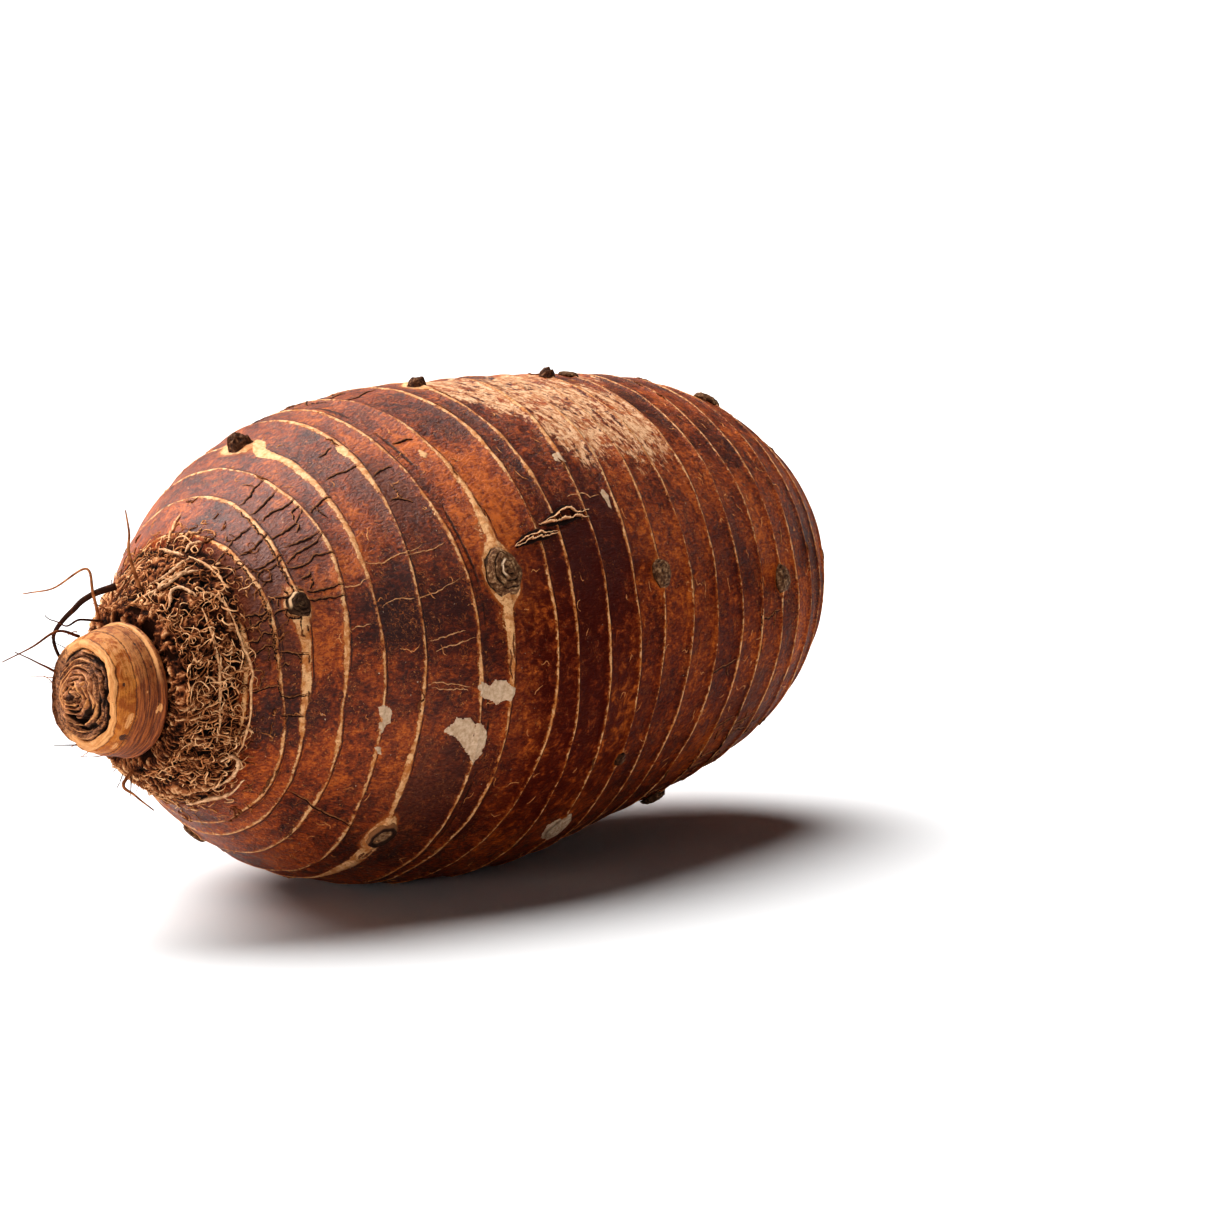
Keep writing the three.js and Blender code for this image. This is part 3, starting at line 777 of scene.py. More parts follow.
def skin_material():
    """Corky skin, plum to rust, with pale ring lines, worn stretches, and soil and cork at its ends."""
    s = Shader("corm skin")
    cloud = s.noise(13, 4, 0.6, 1, 0.6, (1.4, 1, 1))
    mottle = s.noise(2.6, 6, 0.70, 2, 0.5)
    grain = s.noise(0.6, 4, 0.65, 3, 0.3, (2.4, 1, 1))
    ragged = s.centred(s.noise(1.5, 5, 0.7, 5))
    colour = skin_ground(s, cloud, mottle, grain)
    worn, beige = worn_skin(s)
    colour = s.mix(worn, colour, beige)
    colour, line, furrow = ring_lines(s, colour, cloud, mottle, grain, ragged)

    # Soil at the crown, cork at the base scar.
    mat = s.math("MULTIPLY_ADD", ragged, 0.9, s["mat"])
    colour = s.mix(s.ramp(mat, 0.35, 0.65), colour, SOIL)
    cork = s.mix(s.ramp(mottle, 0.38, 0.62), CORK_DARK, CORK_LIGHT)
    colour = s.mix(s.ramp(s["scar"], 0.3, 0.9), colour, cork)

    s.principled.inputs["Specular IOR Level"].default_value = EVEN_SPECULAR
    rough = s.ramp(mottle, 0.3, 0.7, 0.36, 0.56)
    rough = s.math("MULTIPLY_ADD", s.math("MAXIMUM", line, worn), 0.2, rough)
    rough = s.math("MAXIMUM", rough, s.times(s["mat"], 0.9))
    relief = s.math("MULTIPLY_ADD", mottle, 0.6, s.times(grain, 0.5))
    relief = s.math("MULTIPLY_ADD", line, 0.3, relief)
    relief = s.math("MULTIPLY_ADD", furrow, -0.6, relief)
    return s.finish(colour, rough, s.bump(relief, 0.8), s.math("ADD", s["sheen"], 0.02))


# ------------------------------------------------------------------ leaf stalk stub

STUB_COLUMNS = 260
STUB_GAP = 0.3
STUB_ROWS_BETWEEN = 4
# Profile of the cut stub from the crown face up: radius, height, in mm. It starts below the face,
# because the stub leans.
STUB_SIDE = np.array([
    [12.2, -2.0], [12.8, 0.0], [13.6, 0.6], [14.5, 1.2], [14.8, 2.0], [14.6, 2.8], [14.05, 3.1],
    [13.95, 3.6], [13.95, 5.2], [13.7, 7.0], [13.4, 8.1], [13.05, 8.35], [12.95, 8.8],
    [12.7, 10.4], [12.3, 11.7], [11.9, 11.95], [11.9, 12.5], [11.5, 13.0], [10.8, 13.15],
])
FACE_RADIUS = STUB_SIDE[-1, 0]
FACE_ROWS = 96
# Edges of the sheaths on the cut face, from the outer one in: radius, height of its cut edge.
SHEATHS = np.array([[10.8, 13.15], [9.6, 13.15], [8.1, 13.4], [6.7, 13.9], [5.5, 14.5], [4.3, 15.1],
                    [3.2, 15.6], [2.2, 15.9], [1.3, 16.1]])
SPIRAL_SHIFT = 0.55
# Gaps between sheaths: radius, middle in degrees, spread in degrees, depth, half width.
SHEATH_GAPS = [
    (9.45, 85, 60, 3.2, 0.5), (5.3, 175, 58, 2.8, 0.7), (8.3, 70, 45, 1.6, 0.3),
    (9.2, 310, 60, 1.1, 0.3), (3.3, 250, 90, 1.3, 0.35), (7.2, 140, 50, 1.8, 0.45),
    (4.2, 60, 60, 0.9, 0.25), (2.2, 90, 110, 1.0, 0.3),
]
# The pale outer sheath is worn away on the far side: middle and spread in degrees, depth.
WORN_SHEATH = (255, 62, 1.6)

# Marks on the stub's side: degrees, height, spread of each, and strength, above 0 for bare pale
# fibre and below 0 for a dark hole.
STUB_MARKS = [
    (112, 9.3, 12, 0.8, 1.1), (133, 9.2, 7, 1.1, -1.2), (148, 9.9, 9, 0.9, 1.1),
    (99, 3.0, 4, 0.5, 1.2), (103, 3.6, 2, 0.3, 1.0), (62, 4.2, 3, 0.3, -0.9),
    (84, 6.2, 2, 0.4, 0.9), (38, 5.6, 2, 0.5, -1.0), (74, 11.2, 3, 0.4, -0.9),
]


def face_slope(radius):
    """Height of the cut face without its sheath edges."""
    return np.interp(radius, SHEATHS[::-1, 0], SHEATHS[::-1, 1])


def face_height(radius, turn):
    """Height of the cut face, whose sheath edges stand in a loose spiral, and where they stand."""
    coiled = radius - SPIRAL_SHIFT * (np.cos(turn - 1.2) * 0.5 + 0.25 * np.sin(2 * turn))
    slope = face_slope(radius)
    edges = np.zeros_like(radius)
    crests = np.zeros_like(radius)
    for number, (edge, _) in enumerate(SHEATHS[1:], 1):
        wander = 0.12 * np.sin((3 + number) * turn + number * 2.1)
        gap = coiled - edge - wander
        crest = np.exp(-((gap + 0.30) / 0.22) ** 2) * (0.75 + 0.25 * np.sin(2 * turn + number))
        crests += crest
        edges += 0.6 * crest - 0.75 * np.exp(-((gap - 0.14) / 0.2) ** 2)
    for at, degrees, spread, depth, width in SHEATH_GAPS:
        across = spreads_off(turn, degrees, spread)
        wander = 0.25 * np.sin(5 * turn + at) + 0.12 * np.sin(13 * turn + at)
        edges -= depth * np.exp(-across**4) * np.exp(-((radius - at - wander) / width) ** 4)
    return slope + edges * smooth_step(FACE_RADIUS, FACE_RADIUS - 0.8, radius), crests


def build_stub():
    """Cut leaf stalks: a collar, bands of old sheath and the spiral of the cut face."""
    turn = np.arange(STUB_COLUMNS) * TAU / STUB_COLUMNS
    steps = np.linspace(0, 1, STUB_ROWS_BETWEEN + 1)[:-1, None]
    side = np.concatenate([a + (b - a) * steps for a, b in zip(STUB_SIDE, STUB_SIDE[1:])])
    face = np.linspace(FACE_RADIUS, 0.15, FACE_ROWS)
    radius = np.concatenate([side[:, 0], face])[:, None] * np.ones(STUB_COLUMNS)
    turn = np.broadcast_to(turn, radius.shape)
    face_heights, crests = face_height(radius[len(side):], turn[len(side):])
    height = np.concatenate([side[:, 1][:, None] * np.ones(STUB_COLUMNS), face_heights])
    rise = np.diff(np.concatenate([side[:, 1], np.full(FACE_ROWS, STUB_SIDE[-1, 1])]))
    lengths = np.hypot(np.diff(radius[:, 0]), rise)
    along = np.concatenate([[0], np.cumsum(lengths)])[:, None] * np.ones(STUB_COLUMNS)
    marks = np.zeros_like(height)
    for degrees, at, spread, tall, strength in STUB_MARKS:
        spot = np.exp(-spreads_off(turn, degrees, spread) ** 2 - ((height - at) / tall) ** 2)
        marks += strength * spot * (radius > FACE_RADIUS)
    depth = np.where(radius < FACE_RADIUS, np.clip(face_slope(radius) - height, 0, 3), 0)
    crest = np.concatenate([np.zeros((len(side), STUB_COLUMNS)), crests])
    values = {"along": along, "turn_cos": np.cos(turn), "turn_sin": np.sin(turn), "marks": marks,
              "radius": radius, "depth": depth, "height": height, "crest": crest}
    points = stub_points(radius, turn, height, along)
    faces = [face[::-1] for face in closed_faces(len(points), STUB_COLUMNS)]
    add_object("leaf_stalk_stub_cut", points, faces, stub_material(), values,
               node="leaf_stalk_stub")


def stub_points(radius, turn, height, along):
    """Points of the stub: its smooth form made wavy, furrowed and chipped, and set on the crown."""
    spot = np.stack([height, radius * np.cos(turn), radius * np.sin(turn)], -1)
    cut = smooth_step(6, 11, height)
    wave = 0.45 * cut * (np.sin(2 * turn + 0.4 * height) + 0.6 * np.sin(5 * turn + height))
    ragged = 0.22 * noise_at(spot, 1.1, 21) + 0.3 * noise_at(spot, 3, 22)
    chips = -0.9 * np.clip(noise_at(spot, 2.2, 23) - 0.15, 0, 1) * smooth_step(9.5, 11.5, height)
    degrees, spread, depth = WORN_SHEATH
    worn = depth * np.exp(-spreads_off(turn, degrees, spread) ** 4)
    chips -= worn * smooth_step(12.2, 12.9, height) * smooth_step(8.6, 9.8, radius)
    lift = (wave + ragged * (0.3 + 0.7 * cut) + chips) * smooth_step(0, 1.5, height)
    gather = 1 + 0.03 * np.sin(2 * turn + 0.5) * np.clip(height / 6, 0, 1)
    grain = np.stack([along * 2.2, 3 * np.cos(turn), 3 * np.sin(turn)], -1)
    furrow = 0.12 * noise_at(grain, 1.0, 24)
    reach = radius * gather + furrow * smooth_step(0, 1.5, height) * smooth_step(0, 2, radius)
    rise = STUB_GAP + height + lift
    sideways = -reach * np.sin(turn)
    return centre_line(0) + np.stack([
        crown_shift(0, 0) - rise * math.cos(CROWN_SLANT) + sideways * math.sin(CROWN_SLANT),
        rise * math.sin(CROWN_SLANT) + sideways * math.cos(CROWN_SLANT), reach * np.cos(turn)], -1)


STUB_TAN = (0.58, 0.24, 0.075)
STUB_PALE = (0.80, 0.39, 0.155)
STUB_ORANGE = (0.33, 0.082, 0.009)
STUB_AMBER = (0.55, 0.185, 0.028)
STUB_MAUVE = (0.130, 0.031, 0.012)
STUB_BROWN = (0.40, 0.115, 0.030)
STUB_FACE = (0.080, 0.028, 0.015)
STUB_FACE_LIGHT = (0.42, 0.175, 0.075)
STUB_DARK = (0.008, 0.003, 0.002)
STUB_GROOVE = (0.07, 0.022, 0.010)
HEART_DARK = (0.19, 0.060, 0.024)
HEART_LIGHT = (0.62, 0.28, 0.125)
# Heights of the dark grooves round the stub's side.
STUB_GROOVES = (3.3, 5.6, 8.35, 12.15)


def stub_side(s, height, fibre, mottle, fine):
    """Up the stub's side: mauve sheath, a pale lip, orange sheath, with grooves, marks and painted
    highlight.
    """
    streak = s.ramp(fibre, 0.38, 0.64)
    tan = s.mix(streak, STUB_TAN, STUB_PALE)
    mauve = s.mix(streak, STUB_MAUVE, STUB_BROWN)
    # Painted highlight: tan over the mauve sheath on the stub's upper side.
    sunlit = s.times(s.ramp(s["turn_cos"], -0.1, 0.9), s.ramp(mottle, 0.35, 0.6))
    mauve = s.mix(sunlit, mauve, STUB_TAN, 0.8)
    orange = s.mix(s.ramp(mottle, 0.40, 0.60), STUB_ORANGE, STUB_AMBER)
    # Painted highlight: tan over the orange sheath on the stub's upper side.
    sunlit = s.times(s.ramp(s["turn_cos"], 0.1, 0.8), s.ramp(mottle, 0.42, 0.58))
    orange = s.mix(sunlit, orange, STUB_TAN)
    orange = s.mix(s.ramp(fibre, 0.56, 0.70), orange, STUB_TAN)
    colour = s.mix(s.ramp(height, 7.7, 8.5), mauve, orange)
    lip = s.times(s.ramp(height, 2.3, 2.6), s.ramp(height, 3.2, 2.9))
    lip = s.times(lip, s.ramp(s["turn_cos"], 0.15, 0.6))
    colour = s.mix(s.ramp(height, 1.4, 1.0), colour, STUB_ORANGE, 0.6)
    colour = s.mix(lip, colour, STUB_PALE)
    for groove in STUB_GROOVES:
        hair = s.math("ABSOLUTE", s.math("SUBTRACT", s["height"], groove))
        colour = s.mix(s.ramp(s.stir(fine, 0.5, hair), 0.2, 0.02), colour, STUB_GROOVE, 0.8)
    marks = s.stir(fine, 1.3, s["marks"])
    colour = s.mix(s.ramp(marks, 0.5, 0.68), colour, tan)
    # Painted shade: the holes are dark spots of colour, with no hollow in the mesh.
    colour = s.mix(s.ramp(marks, -0.5, -0.68), colour, STUB_FACE)
    return colour, streak, tan


def stub_face(s, colour, height, radius, wander, fine, streak, tan):
    """In over the cut face: the pale outer sheath, the brown face, its heart, its pale edges and
    painted shade in its gaps.
    """
    face = s.mix(s.ramp(fine, 0.36, 0.64), STUB_FACE, STUB_FACE_LIGHT)
    heart = s.mix(streak, HEART_DARK, HEART_LIGHT)
    near_side = s.ramp(s.math("ADD", s["turn_sin"], s.times(wander, 0.4)), -0.75, -0.45)
    top = s.ramp(height, 12.1, 12.5)
    colour = s.mix(top, colour, face)
    colour = s.mix(s.times(top, near_side), colour, tan)
    colour = s.mix(s.ramp(radius, 9.9, 9.6), colour, face)
    colour = s.mix(s.ramp(radius, 6.6, 6.2), colour, heart)
    crest = s.ramp(s.stir(fine, 1.2, s["crest"]), 0.45, 0.8)
    crest = s.times(crest, s.ramp(radius, 9.4, 5.5, 0.45, 1.0))
    colour = s.mix(crest, colour, tan)
    # Painted shade: the deeper a gap between sheaths, the darker it is coloured.
    colour = s.mix(s.ramp(s["depth"], 0.25, 0.9), colour, STUB_DARK, 0.94)
    colour = s.mix(s.ramp(radius, 1.6, 0.9), colour, STUB_FACE)
    return s.mix(s.ramp(fine, 0.36, 0.28), colour, STUB_DARK, 0.7)


def stub_material():
    """Dry leaf stalk: mauve-brown and orange bands, a pale cut ring and a grey-brown fibrous face."""
    s = Shader("dry leaf stalk")
    joined = s.nodes.new("ShaderNodeCombineXYZ")
    for socket, name in zip(joined.inputs, ("along", "turn_cos", "turn_sin")):
        s.feed(socket, s[name])
    fibre_node = s.nodes.new("ShaderNodeTexNoise")
    s.feed(fibre_node.inputs["Vector"], joined.outputs[0])
    s.feed(fibre_node.inputs["Scale"], 2.4)
    s.feed(fibre_node.inputs["Detail"], 5.0)
    s.feed(fibre_node.inputs["Roughness"], 0.62)
    fibre = fibre_node.outputs[0]
    mottle = s.noise(2.2, 4, 0.62, 11, 0.3)
    fine = s.noise(0.6, 4, 0.65, 12)
    wander = s.stir(fine, 0.9, s.times(s.centred(mottle), 1.2))
    radius = s.math("ADD", wander, s["radius"])
    height = s.stir(mottle, 1.0, s["height"])
    colour, streak, tan = stub_side(s, height, fibre, mottle, fine)
    colour = stub_face(s, colour, height, radius, wander, fine, streak, tan)
    relief = s.math("MULTIPLY_ADD", fibre, 0.8, s.times(fine, 0.35))
    rough = s.ramp(fibre, 0.3, 0.7, 0.44, 0.62)
    return s.finish(colour, rough, s.bump(relief, 0.6), 0.2)


# ------------------------------------------------------------------ side buds

BUD_GRID = (20, 56)
HIDDEN_BUD_GRID = (9, 22)


def build_bud(name, place, kind, material):
    """One side bud: a dome of overlapping scales on its ring."""
    _, station, angle, length, width, height = place
    rows, columns = HIDDEN_BUD_GRID if kind == "hidden" else BUD_GRID
    along, around, out = skin_frame(station, angle)
    share = np.linspace(1.12, 0.02, rows)[:, None]
    turn = np.arange(columns) * TAU / columns
    share, turn = np.broadcast_arrays(share, turn)
    edge = 1 + 0.06 * np.sin(3 * turn + station) + 0.04 * np.sin(7 * turn)
    x = share * edge * length * np.cos(turn)
    y = share * edge * width * np.sin(turn)
    spiral = share * 3.4 + turn / TAU
    step = spiral - np.floor(spiral)
    profile = np.sqrt(np.clip(1 - np.clip(share, 0, 1) ** 2.2, 0, 1))
    if kind == "oval":
        rim = np.exp(-((share - 0.86) / 0.16) ** 2)
        rise = height * (0.6 * rim + 0.15 * np.exp(-(share / 0.5) ** 2))
    elif kind == "knob":
        knobs = noise_at(np.stack([x, y, share * 3 + station], -1), 1.3, 31)
        rise = height * profile * (0.85 + 0.5 * knobs)
    else:
        low = 0.6 if kind == "hidden" else 0.82
        rise = height * (profile * low + 0.20 * step * (share < 1) * smooth_step(0, 0.2, share))
    rise = rise + 0.12 * noise_at(np.stack([x, y, rise], -1), 0.8, 32) * (share < 1)
    rise = np.where(share > 1.02, -0.5, rise)
    reach = float(smooth_through(OUTLINE, station))
    base = float(skin_fields(np.array([station]), np.array([angle]))[0][0])
    sag = y**2 / (2 * reach)
    centre = skin_point(station, angle, base - 0.1)
    points = (centre + x[..., None] * along + y[..., None] * around
              + (rise - sag)[..., None] * out)
    points[..., 2] = np.maximum(points[..., 2], 0.05)
    values = {"share": share, "step": step, "turn_cos": np.cos(turn), "turn_sin": np.sin(turn)}
    fix_normals(add_object(name, points, closed_faces(rows, columns), material, values))


BUD_KINDS = {3: "crescent", 5: "knob", 6: "oval", 8: "scales", 10: "knob", 11: "low",
             12: "knob", 14: "knob"}
BUD_GAP_DARK = (0.025, 0.013, 0.009)


def bud_material(kind):
    """Dry bud scales, darker in their gaps, some with a painted highlight on one side of the rim."""
    s = Shader("bud " + kind)
    mottle = s.noise(0.9, 4, 0.68, 41, 0.3)
    share = s["share"]
    gap = s.ramp(s["step"], 0.30, 0.06)
    grey = s.tones(mottle, [(0.32, (0.035, 0.013, 0.006)), (0.52, (0.16, 0.072, 0.032)),
                            (0.70, (0.52, 0.31, 0.16))])

    def band(inner, outer):
        return s.times(s.ramp(share, *inner), s.ramp(share, *outer))

    # Painted highlight: how far a place faces one side, for a lit rim.
    def lit_side(across, along, low, high):
        facing = s.math("MULTIPLY_ADD", s["turn_sin"], across, s.times(s["turn_cos"], along))
        return s.ramp(facing, low, high)

    if kind == "knob":
        colour = s.tones(mottle, [(0.36, (0.022, 0.008, 0.004)), (0.56, (0.11, 0.042, 0.018)),
                                  (0.70, (0.36, 0.18, 0.09))])
    elif kind == "oval":
        tan = s.tones(mottle, [(0.35, (0.15, 0.062, 0.026)), (0.65, (0.52, 0.30, 0.16))])
        colour = s.mix(s.ramp(share, 0.60, 0.72), tan, (0.035, 0.014, 0.008))
        colour = s.mix(s.ramp(share, 0.95, 1.02), colour, (0.30, 0.13, 0.055))
    elif kind == "crescent":
        lit_rim = s.times(lit_side(-0.75, -0.6, 0.45, 0.75), band((0.74, 0.82), (1.0, 0.95)))
        colour = s.mix(0.75, grey, (0.018, 0.007, 0.004))
        colour = s.mix(lit_rim, colour, (0.70, 0.44, 0.25))
    elif kind == "scales":
        lit_rim = s.times(lit_side(-0.5, -0.8, 0.0, 0.5), band((0.33, 0.38), (0.47, 0.42)))
        colour = s.mix(gap, grey, BUD_GAP_DARK, 0.85)
        colour = s.mix(lit_rim, colour, (0.74, 0.52, 0.34))
    elif kind == "low":
        colour = s.mix(s.ramp(mottle, 0.4, 0.6), PEELED_LINING, (0.42, 0.25, 0.15))
    else:
        colour = s.mix(gap, grey, BUD_GAP_DARK, 0.8)
    smooth = kind in ("knob", "oval", "low")
    relief = mottle if smooth else s.math("SUBTRACT", mottle, gap)
    return s.finish(colour, 0.62, s.bump(relief, 0.55), 0.10)


def build_buds():
    """Every side bud on the skin."""
    materials = {}
    for place in BUD_PLACES:
        kind = BUD_KINDS.get(place[0], "hidden")
        if kind not in materials:
            materials[kind] = bud_material(kind)
        build_bud(f"side_bud_{place[0]:02d}", place, kind, materials[kind])


# ------------------------------------------------------------------ roots at the crown

# Fibres of the root mat: how many, least and most length, curl, radii, how far they lie above the
# soil, and shade from dark to pale. The last layer is the sparse one, past the mat's edge.
MAT_LAYERS = [
    (900, (2, 7), 0.55, (0.09, 0.22), (0.0, 1.2), (0.05, 0.85)),
    (330, (2, 8), 0.50, (0.10, 0.23), (0.4, 1.5), (0.35, 1.05)),
    (120, (2, 6), 0.60, (0.10, 0.24), (0.0, 0.4), (0.2, 0.9)),
]
MAT_STEPS = 13
FIBRE_SIDES = 4
# Nearest and furthest station that a fibre wanders to.
FIBRE_RANGE = (0.4, 45)
# Straw-coloured strips of old sheath that lie over the mat: (station, degrees).
MAT_STRIPS = [
    [(8.9, 40), (8.2, 52), (7.9, 62), (7.5, 78), (7.3, 92), (7.6, 104), (8.3, 119)],
    [(14.4, 40), (13.4, 58), (13.2, 69), (13.7, 80), (13.3, 95), (13.5, 108), (13.4, 127)],
    [(19.5, 6), (18.4, 18), (17.6, 29), (16.2, 38)],
    [(10.5, 30), (12.1, 33), (13.5, 38), (13.9, 45)],
]
# Thick pale dead roots that lie on the mat.
THICK_ROOTS = [
    [(9.5, 33), (9.2, 26), (8.6, 20), (6.5, 19), (5, 24), (3, 28)],
    [(6.5, 1), (9, 6), (13, 8), (18, 9)], [(24, 7), (23, 2), (20, 3)],
    [(10.5, 129), (12.5, 125), (14.8, 130), (15.3, 140), (14.5, 151)],
    [(19.2, 177), (17.8, 164), (19, 151), (18.1, 137)], [(4, 12), (7, 9), (12, 14), (15, 20)],
    [(23.3, -17), (20, -5), (18.7, 4)], [(2.9, 5), (6.4, 11), (10.4, 14), (15.1, 15)],
]
# Thinner roots that lie loose on the skin past the mat, and small loops on the mat's edge.
LOOSE_ROOTS = [
    [(24.2, -15), (28.9, -17), (33.8, -18), (36.5, -17)],
    [(20.3, -1), (24.7, -5), (27.7, -6), (27.9, -2), (30, -1)],
    [(9.7, 76), (11.2, 79), (12.9, 78), (13.9, 74)], [(13.2, 114), (14.5, 110), (16.1, 112)],
]
SMALL_LOOPS = [
    [(8.7, 68), (9.8, 70), (10.9, 67), (11, 64)], [(8.9, 80), (9.5, 84), (10.3, 87), (11.2, 86)],
    [(4.3, 78), (5.6, 80), (6.7, 83), (8.1, 85)],
]
# Roots and fibres that stand off the crown: radius, points from the middle of the crown face.
CROWN_WIRES = [
    (0.8, [[3, 5, 22], [-1, 9, 20], [-2, 14, 16], [-2, 19, 10], [2.5, 19.5, 2.5]]),
    (0.4, [[3, 10, 14], [-1, 8, 20], [-2, 9, 26], [-7, 14, 22], [-11, 19, 21]]),
    (0.35, [[4, 17, 10], [-4, 16, 12], [-10, 18, 9], [-15, 22, 6]]),
    (0.35, [[4, 18, 2], [-1, 19, 2.5], [-7, 18, 5], [-13, 20, 8]]),
    (0.3, [[3, 9, 14], [-1, 12, 14.5], [-5, 13, 13.5], [-9, 15, 16]]),
    (0.45, [[8, 2, 20], [4, 2, 29], [4, 2, 34], [4, 3, 39]]),
    (0.45, [[5, 1, -17], [-1, 0, -20.5], [-1, -3, -22.5], [2, -6, -26]]),
]
WIRE_STEPS = 34
WIRE_SIDES = 6
SHORT_WIRES = 74


def wandering_paths(count, steps, rng, spread, length, curl):
    """Curly paths that creep over the skin: (count, steps) station, angle, share of the lift."""
    angle = rng.uniform(0, TAU, count)
    station = spread(angle, rng)
    heading = rng.uniform(0, TAU, count)
    total = rng.uniform(*length, count)
    turn_rate = rng.normal(0, curl, count)
    stations, angles = [station], [angle]
    for _ in range(steps - 1):
        turn_rate = 0.72 * turn_rate + rng.normal(0, curl * 0.6, count)
        heading = heading + turn_rate
        pace = total / (steps - 1)
        radius = smooth_through(OUTLINE, np.clip(station, 0, LENGTH))
        station = np.clip(station + pace * np.cos(heading), *FIBRE_RANGE)
        angle = angle + pace * np.sin(heading) / radius
        stations.append(station)
        angles.append(angle)
    station, angle = np.stack(stations, 1), np.stack(angles, 1)
    phase = rng.uniform(0, TAU, (count, 1))
    wave = 0.5 + 0.5 * np.sin(phase + np.linspace(0, 1, steps) * rng.uniform(3, 9, (count, 1)))
    return station, angle, rng.uniform(0.25, 1, (count, 1)) * wave


CRUST_COLUMNS = 640
CRUST_STEP = 0.45
CRUST_INNER = -4.6
CRUST_MARGIN = 2.5
# Below the stub the strands lie flat and long: middle in radians, spread.
FLAT_STRANDS = (math.radians(165), 0.75)


def build_crust():
    """Clods and matted strands of soil and dead roots, from the stub's foot out to the mat's edge."""
    angle = np.arange(CRUST_COLUMNS) * TAU / CRUST_COLUMNS
    reach = mat_edge(angle) + CRUST_MARGIN
    rows = np.arange(int((reach.mean() - CRUST_INNER) / CRUST_STEP))
    walk = CRUST_INNER + (reach - CRUST_INNER) * rows[:, None] / rows[-1]
    angle = np.broadcast_to(angle, walk.shape)
    station = np.maximum(walk, 0)
    base = skin_point(station, angle, np.minimum(walk, 0))
    facing = smooth_step(2.5, -1.5, walk)[..., None]
    out = outward(angle) * (1 - facing) + np.array([-1.0, 0, 0]) * facing
    out = out - np.array([0.45, 0, 0]) * (1 - facing)
    out /= np.linalg.norm(out, axis=-1, keepdims=True)

    middle, spread = FLAT_STRANDS
    flat = np.exp(-(angle_gap(angle, middle) / spread) ** 2)[..., None]
    spot = base * (1 - flat * np.array([0.55, 0.0, 0.0]))
    bend = np.stack([noise_at(base, 3.6, seed) for seed in (81, 82, 83)], -1) * (2.6 - 1.8 * flat)
    strand = np.clip(1 - 4.0 * np.abs(noise_at(spot + bend, 3.0, 84)), 0, 1)
    fine = np.clip(1 - 3.6 * np.abs(noise_at(spot + 0.6 * bend, 1.5, 85)), 0, 1)
    clod = noise_at(base, 5.0, 86)
    pit = np.clip(noise_at(base, 2.8, 87) - 0.12, 0, 1)
    lift = 0.1 + 0.6 * clod + 0.75 * strand**1.4 + 0.45 * fine**1.6 - 3.0 * pit
    edge = smooth_step(1.0, 0.55, (walk - CRUST_INNER) / (reach - CRUST_INNER))
    hold = edge * smooth_step(CRUST_INNER, CRUST_INNER + 1, walk)
    points = base + out * (lift * hold - 1.1 * (1 - edge))[..., None]
    # Paler on the strands, darker in the pits; the darkening in the pits is painted shade.
    crest = 0.16 + 0.50 * strand**1.5 + 0.36 * fine**1.6 + 0.25 * clod - 1.3 * pit
    faces = grid_faces(len(points), CRUST_COLUMNS)
    fix_normals(add_object("crown_crust", points, faces, crust_material(), {"crest": crest}))


def crust_material():
    """Soil with paler strands, its pits darkened by painted shade."""
    s = Shader("crown crust")
    mottle = s.noise(1.1, 5, 0.7, 62, 0.3)
    shade = s.stir(mottle, 1.1, s["crest"])
    colour = s.tones(shade, [(0.12, (0.006, 0.0022, 0.0012)), (0.38, (0.090, 0.024, 0.009)),
                             (0.62, (0.38, 0.130, 0.046)), (0.90, (0.82, 0.46, 0.23))])
    return s.finish(colour, 0.85, s.bump(mottle, 0.7), 0.10)


def build_root_mat():
    """Tangle of thin curly dead roots over the soil round the crown."""
    rng = np.random.default_rng(21)

    def in_mat(angle, rng):
        return mat_edge(angle) * rng.uniform(0.0, 1.04, len(angle))

    def past_mat(angle, rng):
        return mat_edge(angle) + rng.uniform(0, 9, len(angle))

    material = root_material()
    for number, (count, length, curl, radii, lifts, shades) in enumerate(MAT_LAYERS):
        place = past_mat if number == len(MAT_LAYERS) - 1 else in_mat
        station, angle, wave = wandering_paths(count, MAT_STEPS, rng, place, length, curl)
        lift = lifts[0] + (lifts[1] - lifts[0]) * wave
        sunk = MAT_DEPTH * smooth_step(3, -3, station - mat_edge(angle))
        paths = surface_point(station, angle, lift + sunk)
        thickness = radii[0] + (radii[1] - radii[0]) * rng.uniform(0, 1, (count, 1)) ** 1.6
        taper = 1 - 0.7 * np.abs(np.linspace(-1, 1, MAT_STEPS)) ** 3
        knots = 1 + 0.35 * rng.normal(0, 1, (count, MAT_STEPS)).clip(-1, 1)
        points, faces = tube_batch(paths, thickness * taper * knots, FIBRE_SIDES)
        shade = np.repeat(rng.uniform(*shades, count), MAT_STEPS * FIBRE_SIDES)
        values = {"shade": shade, "lift": np.repeat(lift.reshape(-1), FIBRE_SIDES)}
        add_object(f"crown_root_mat_{number}", points, faces, material, values)


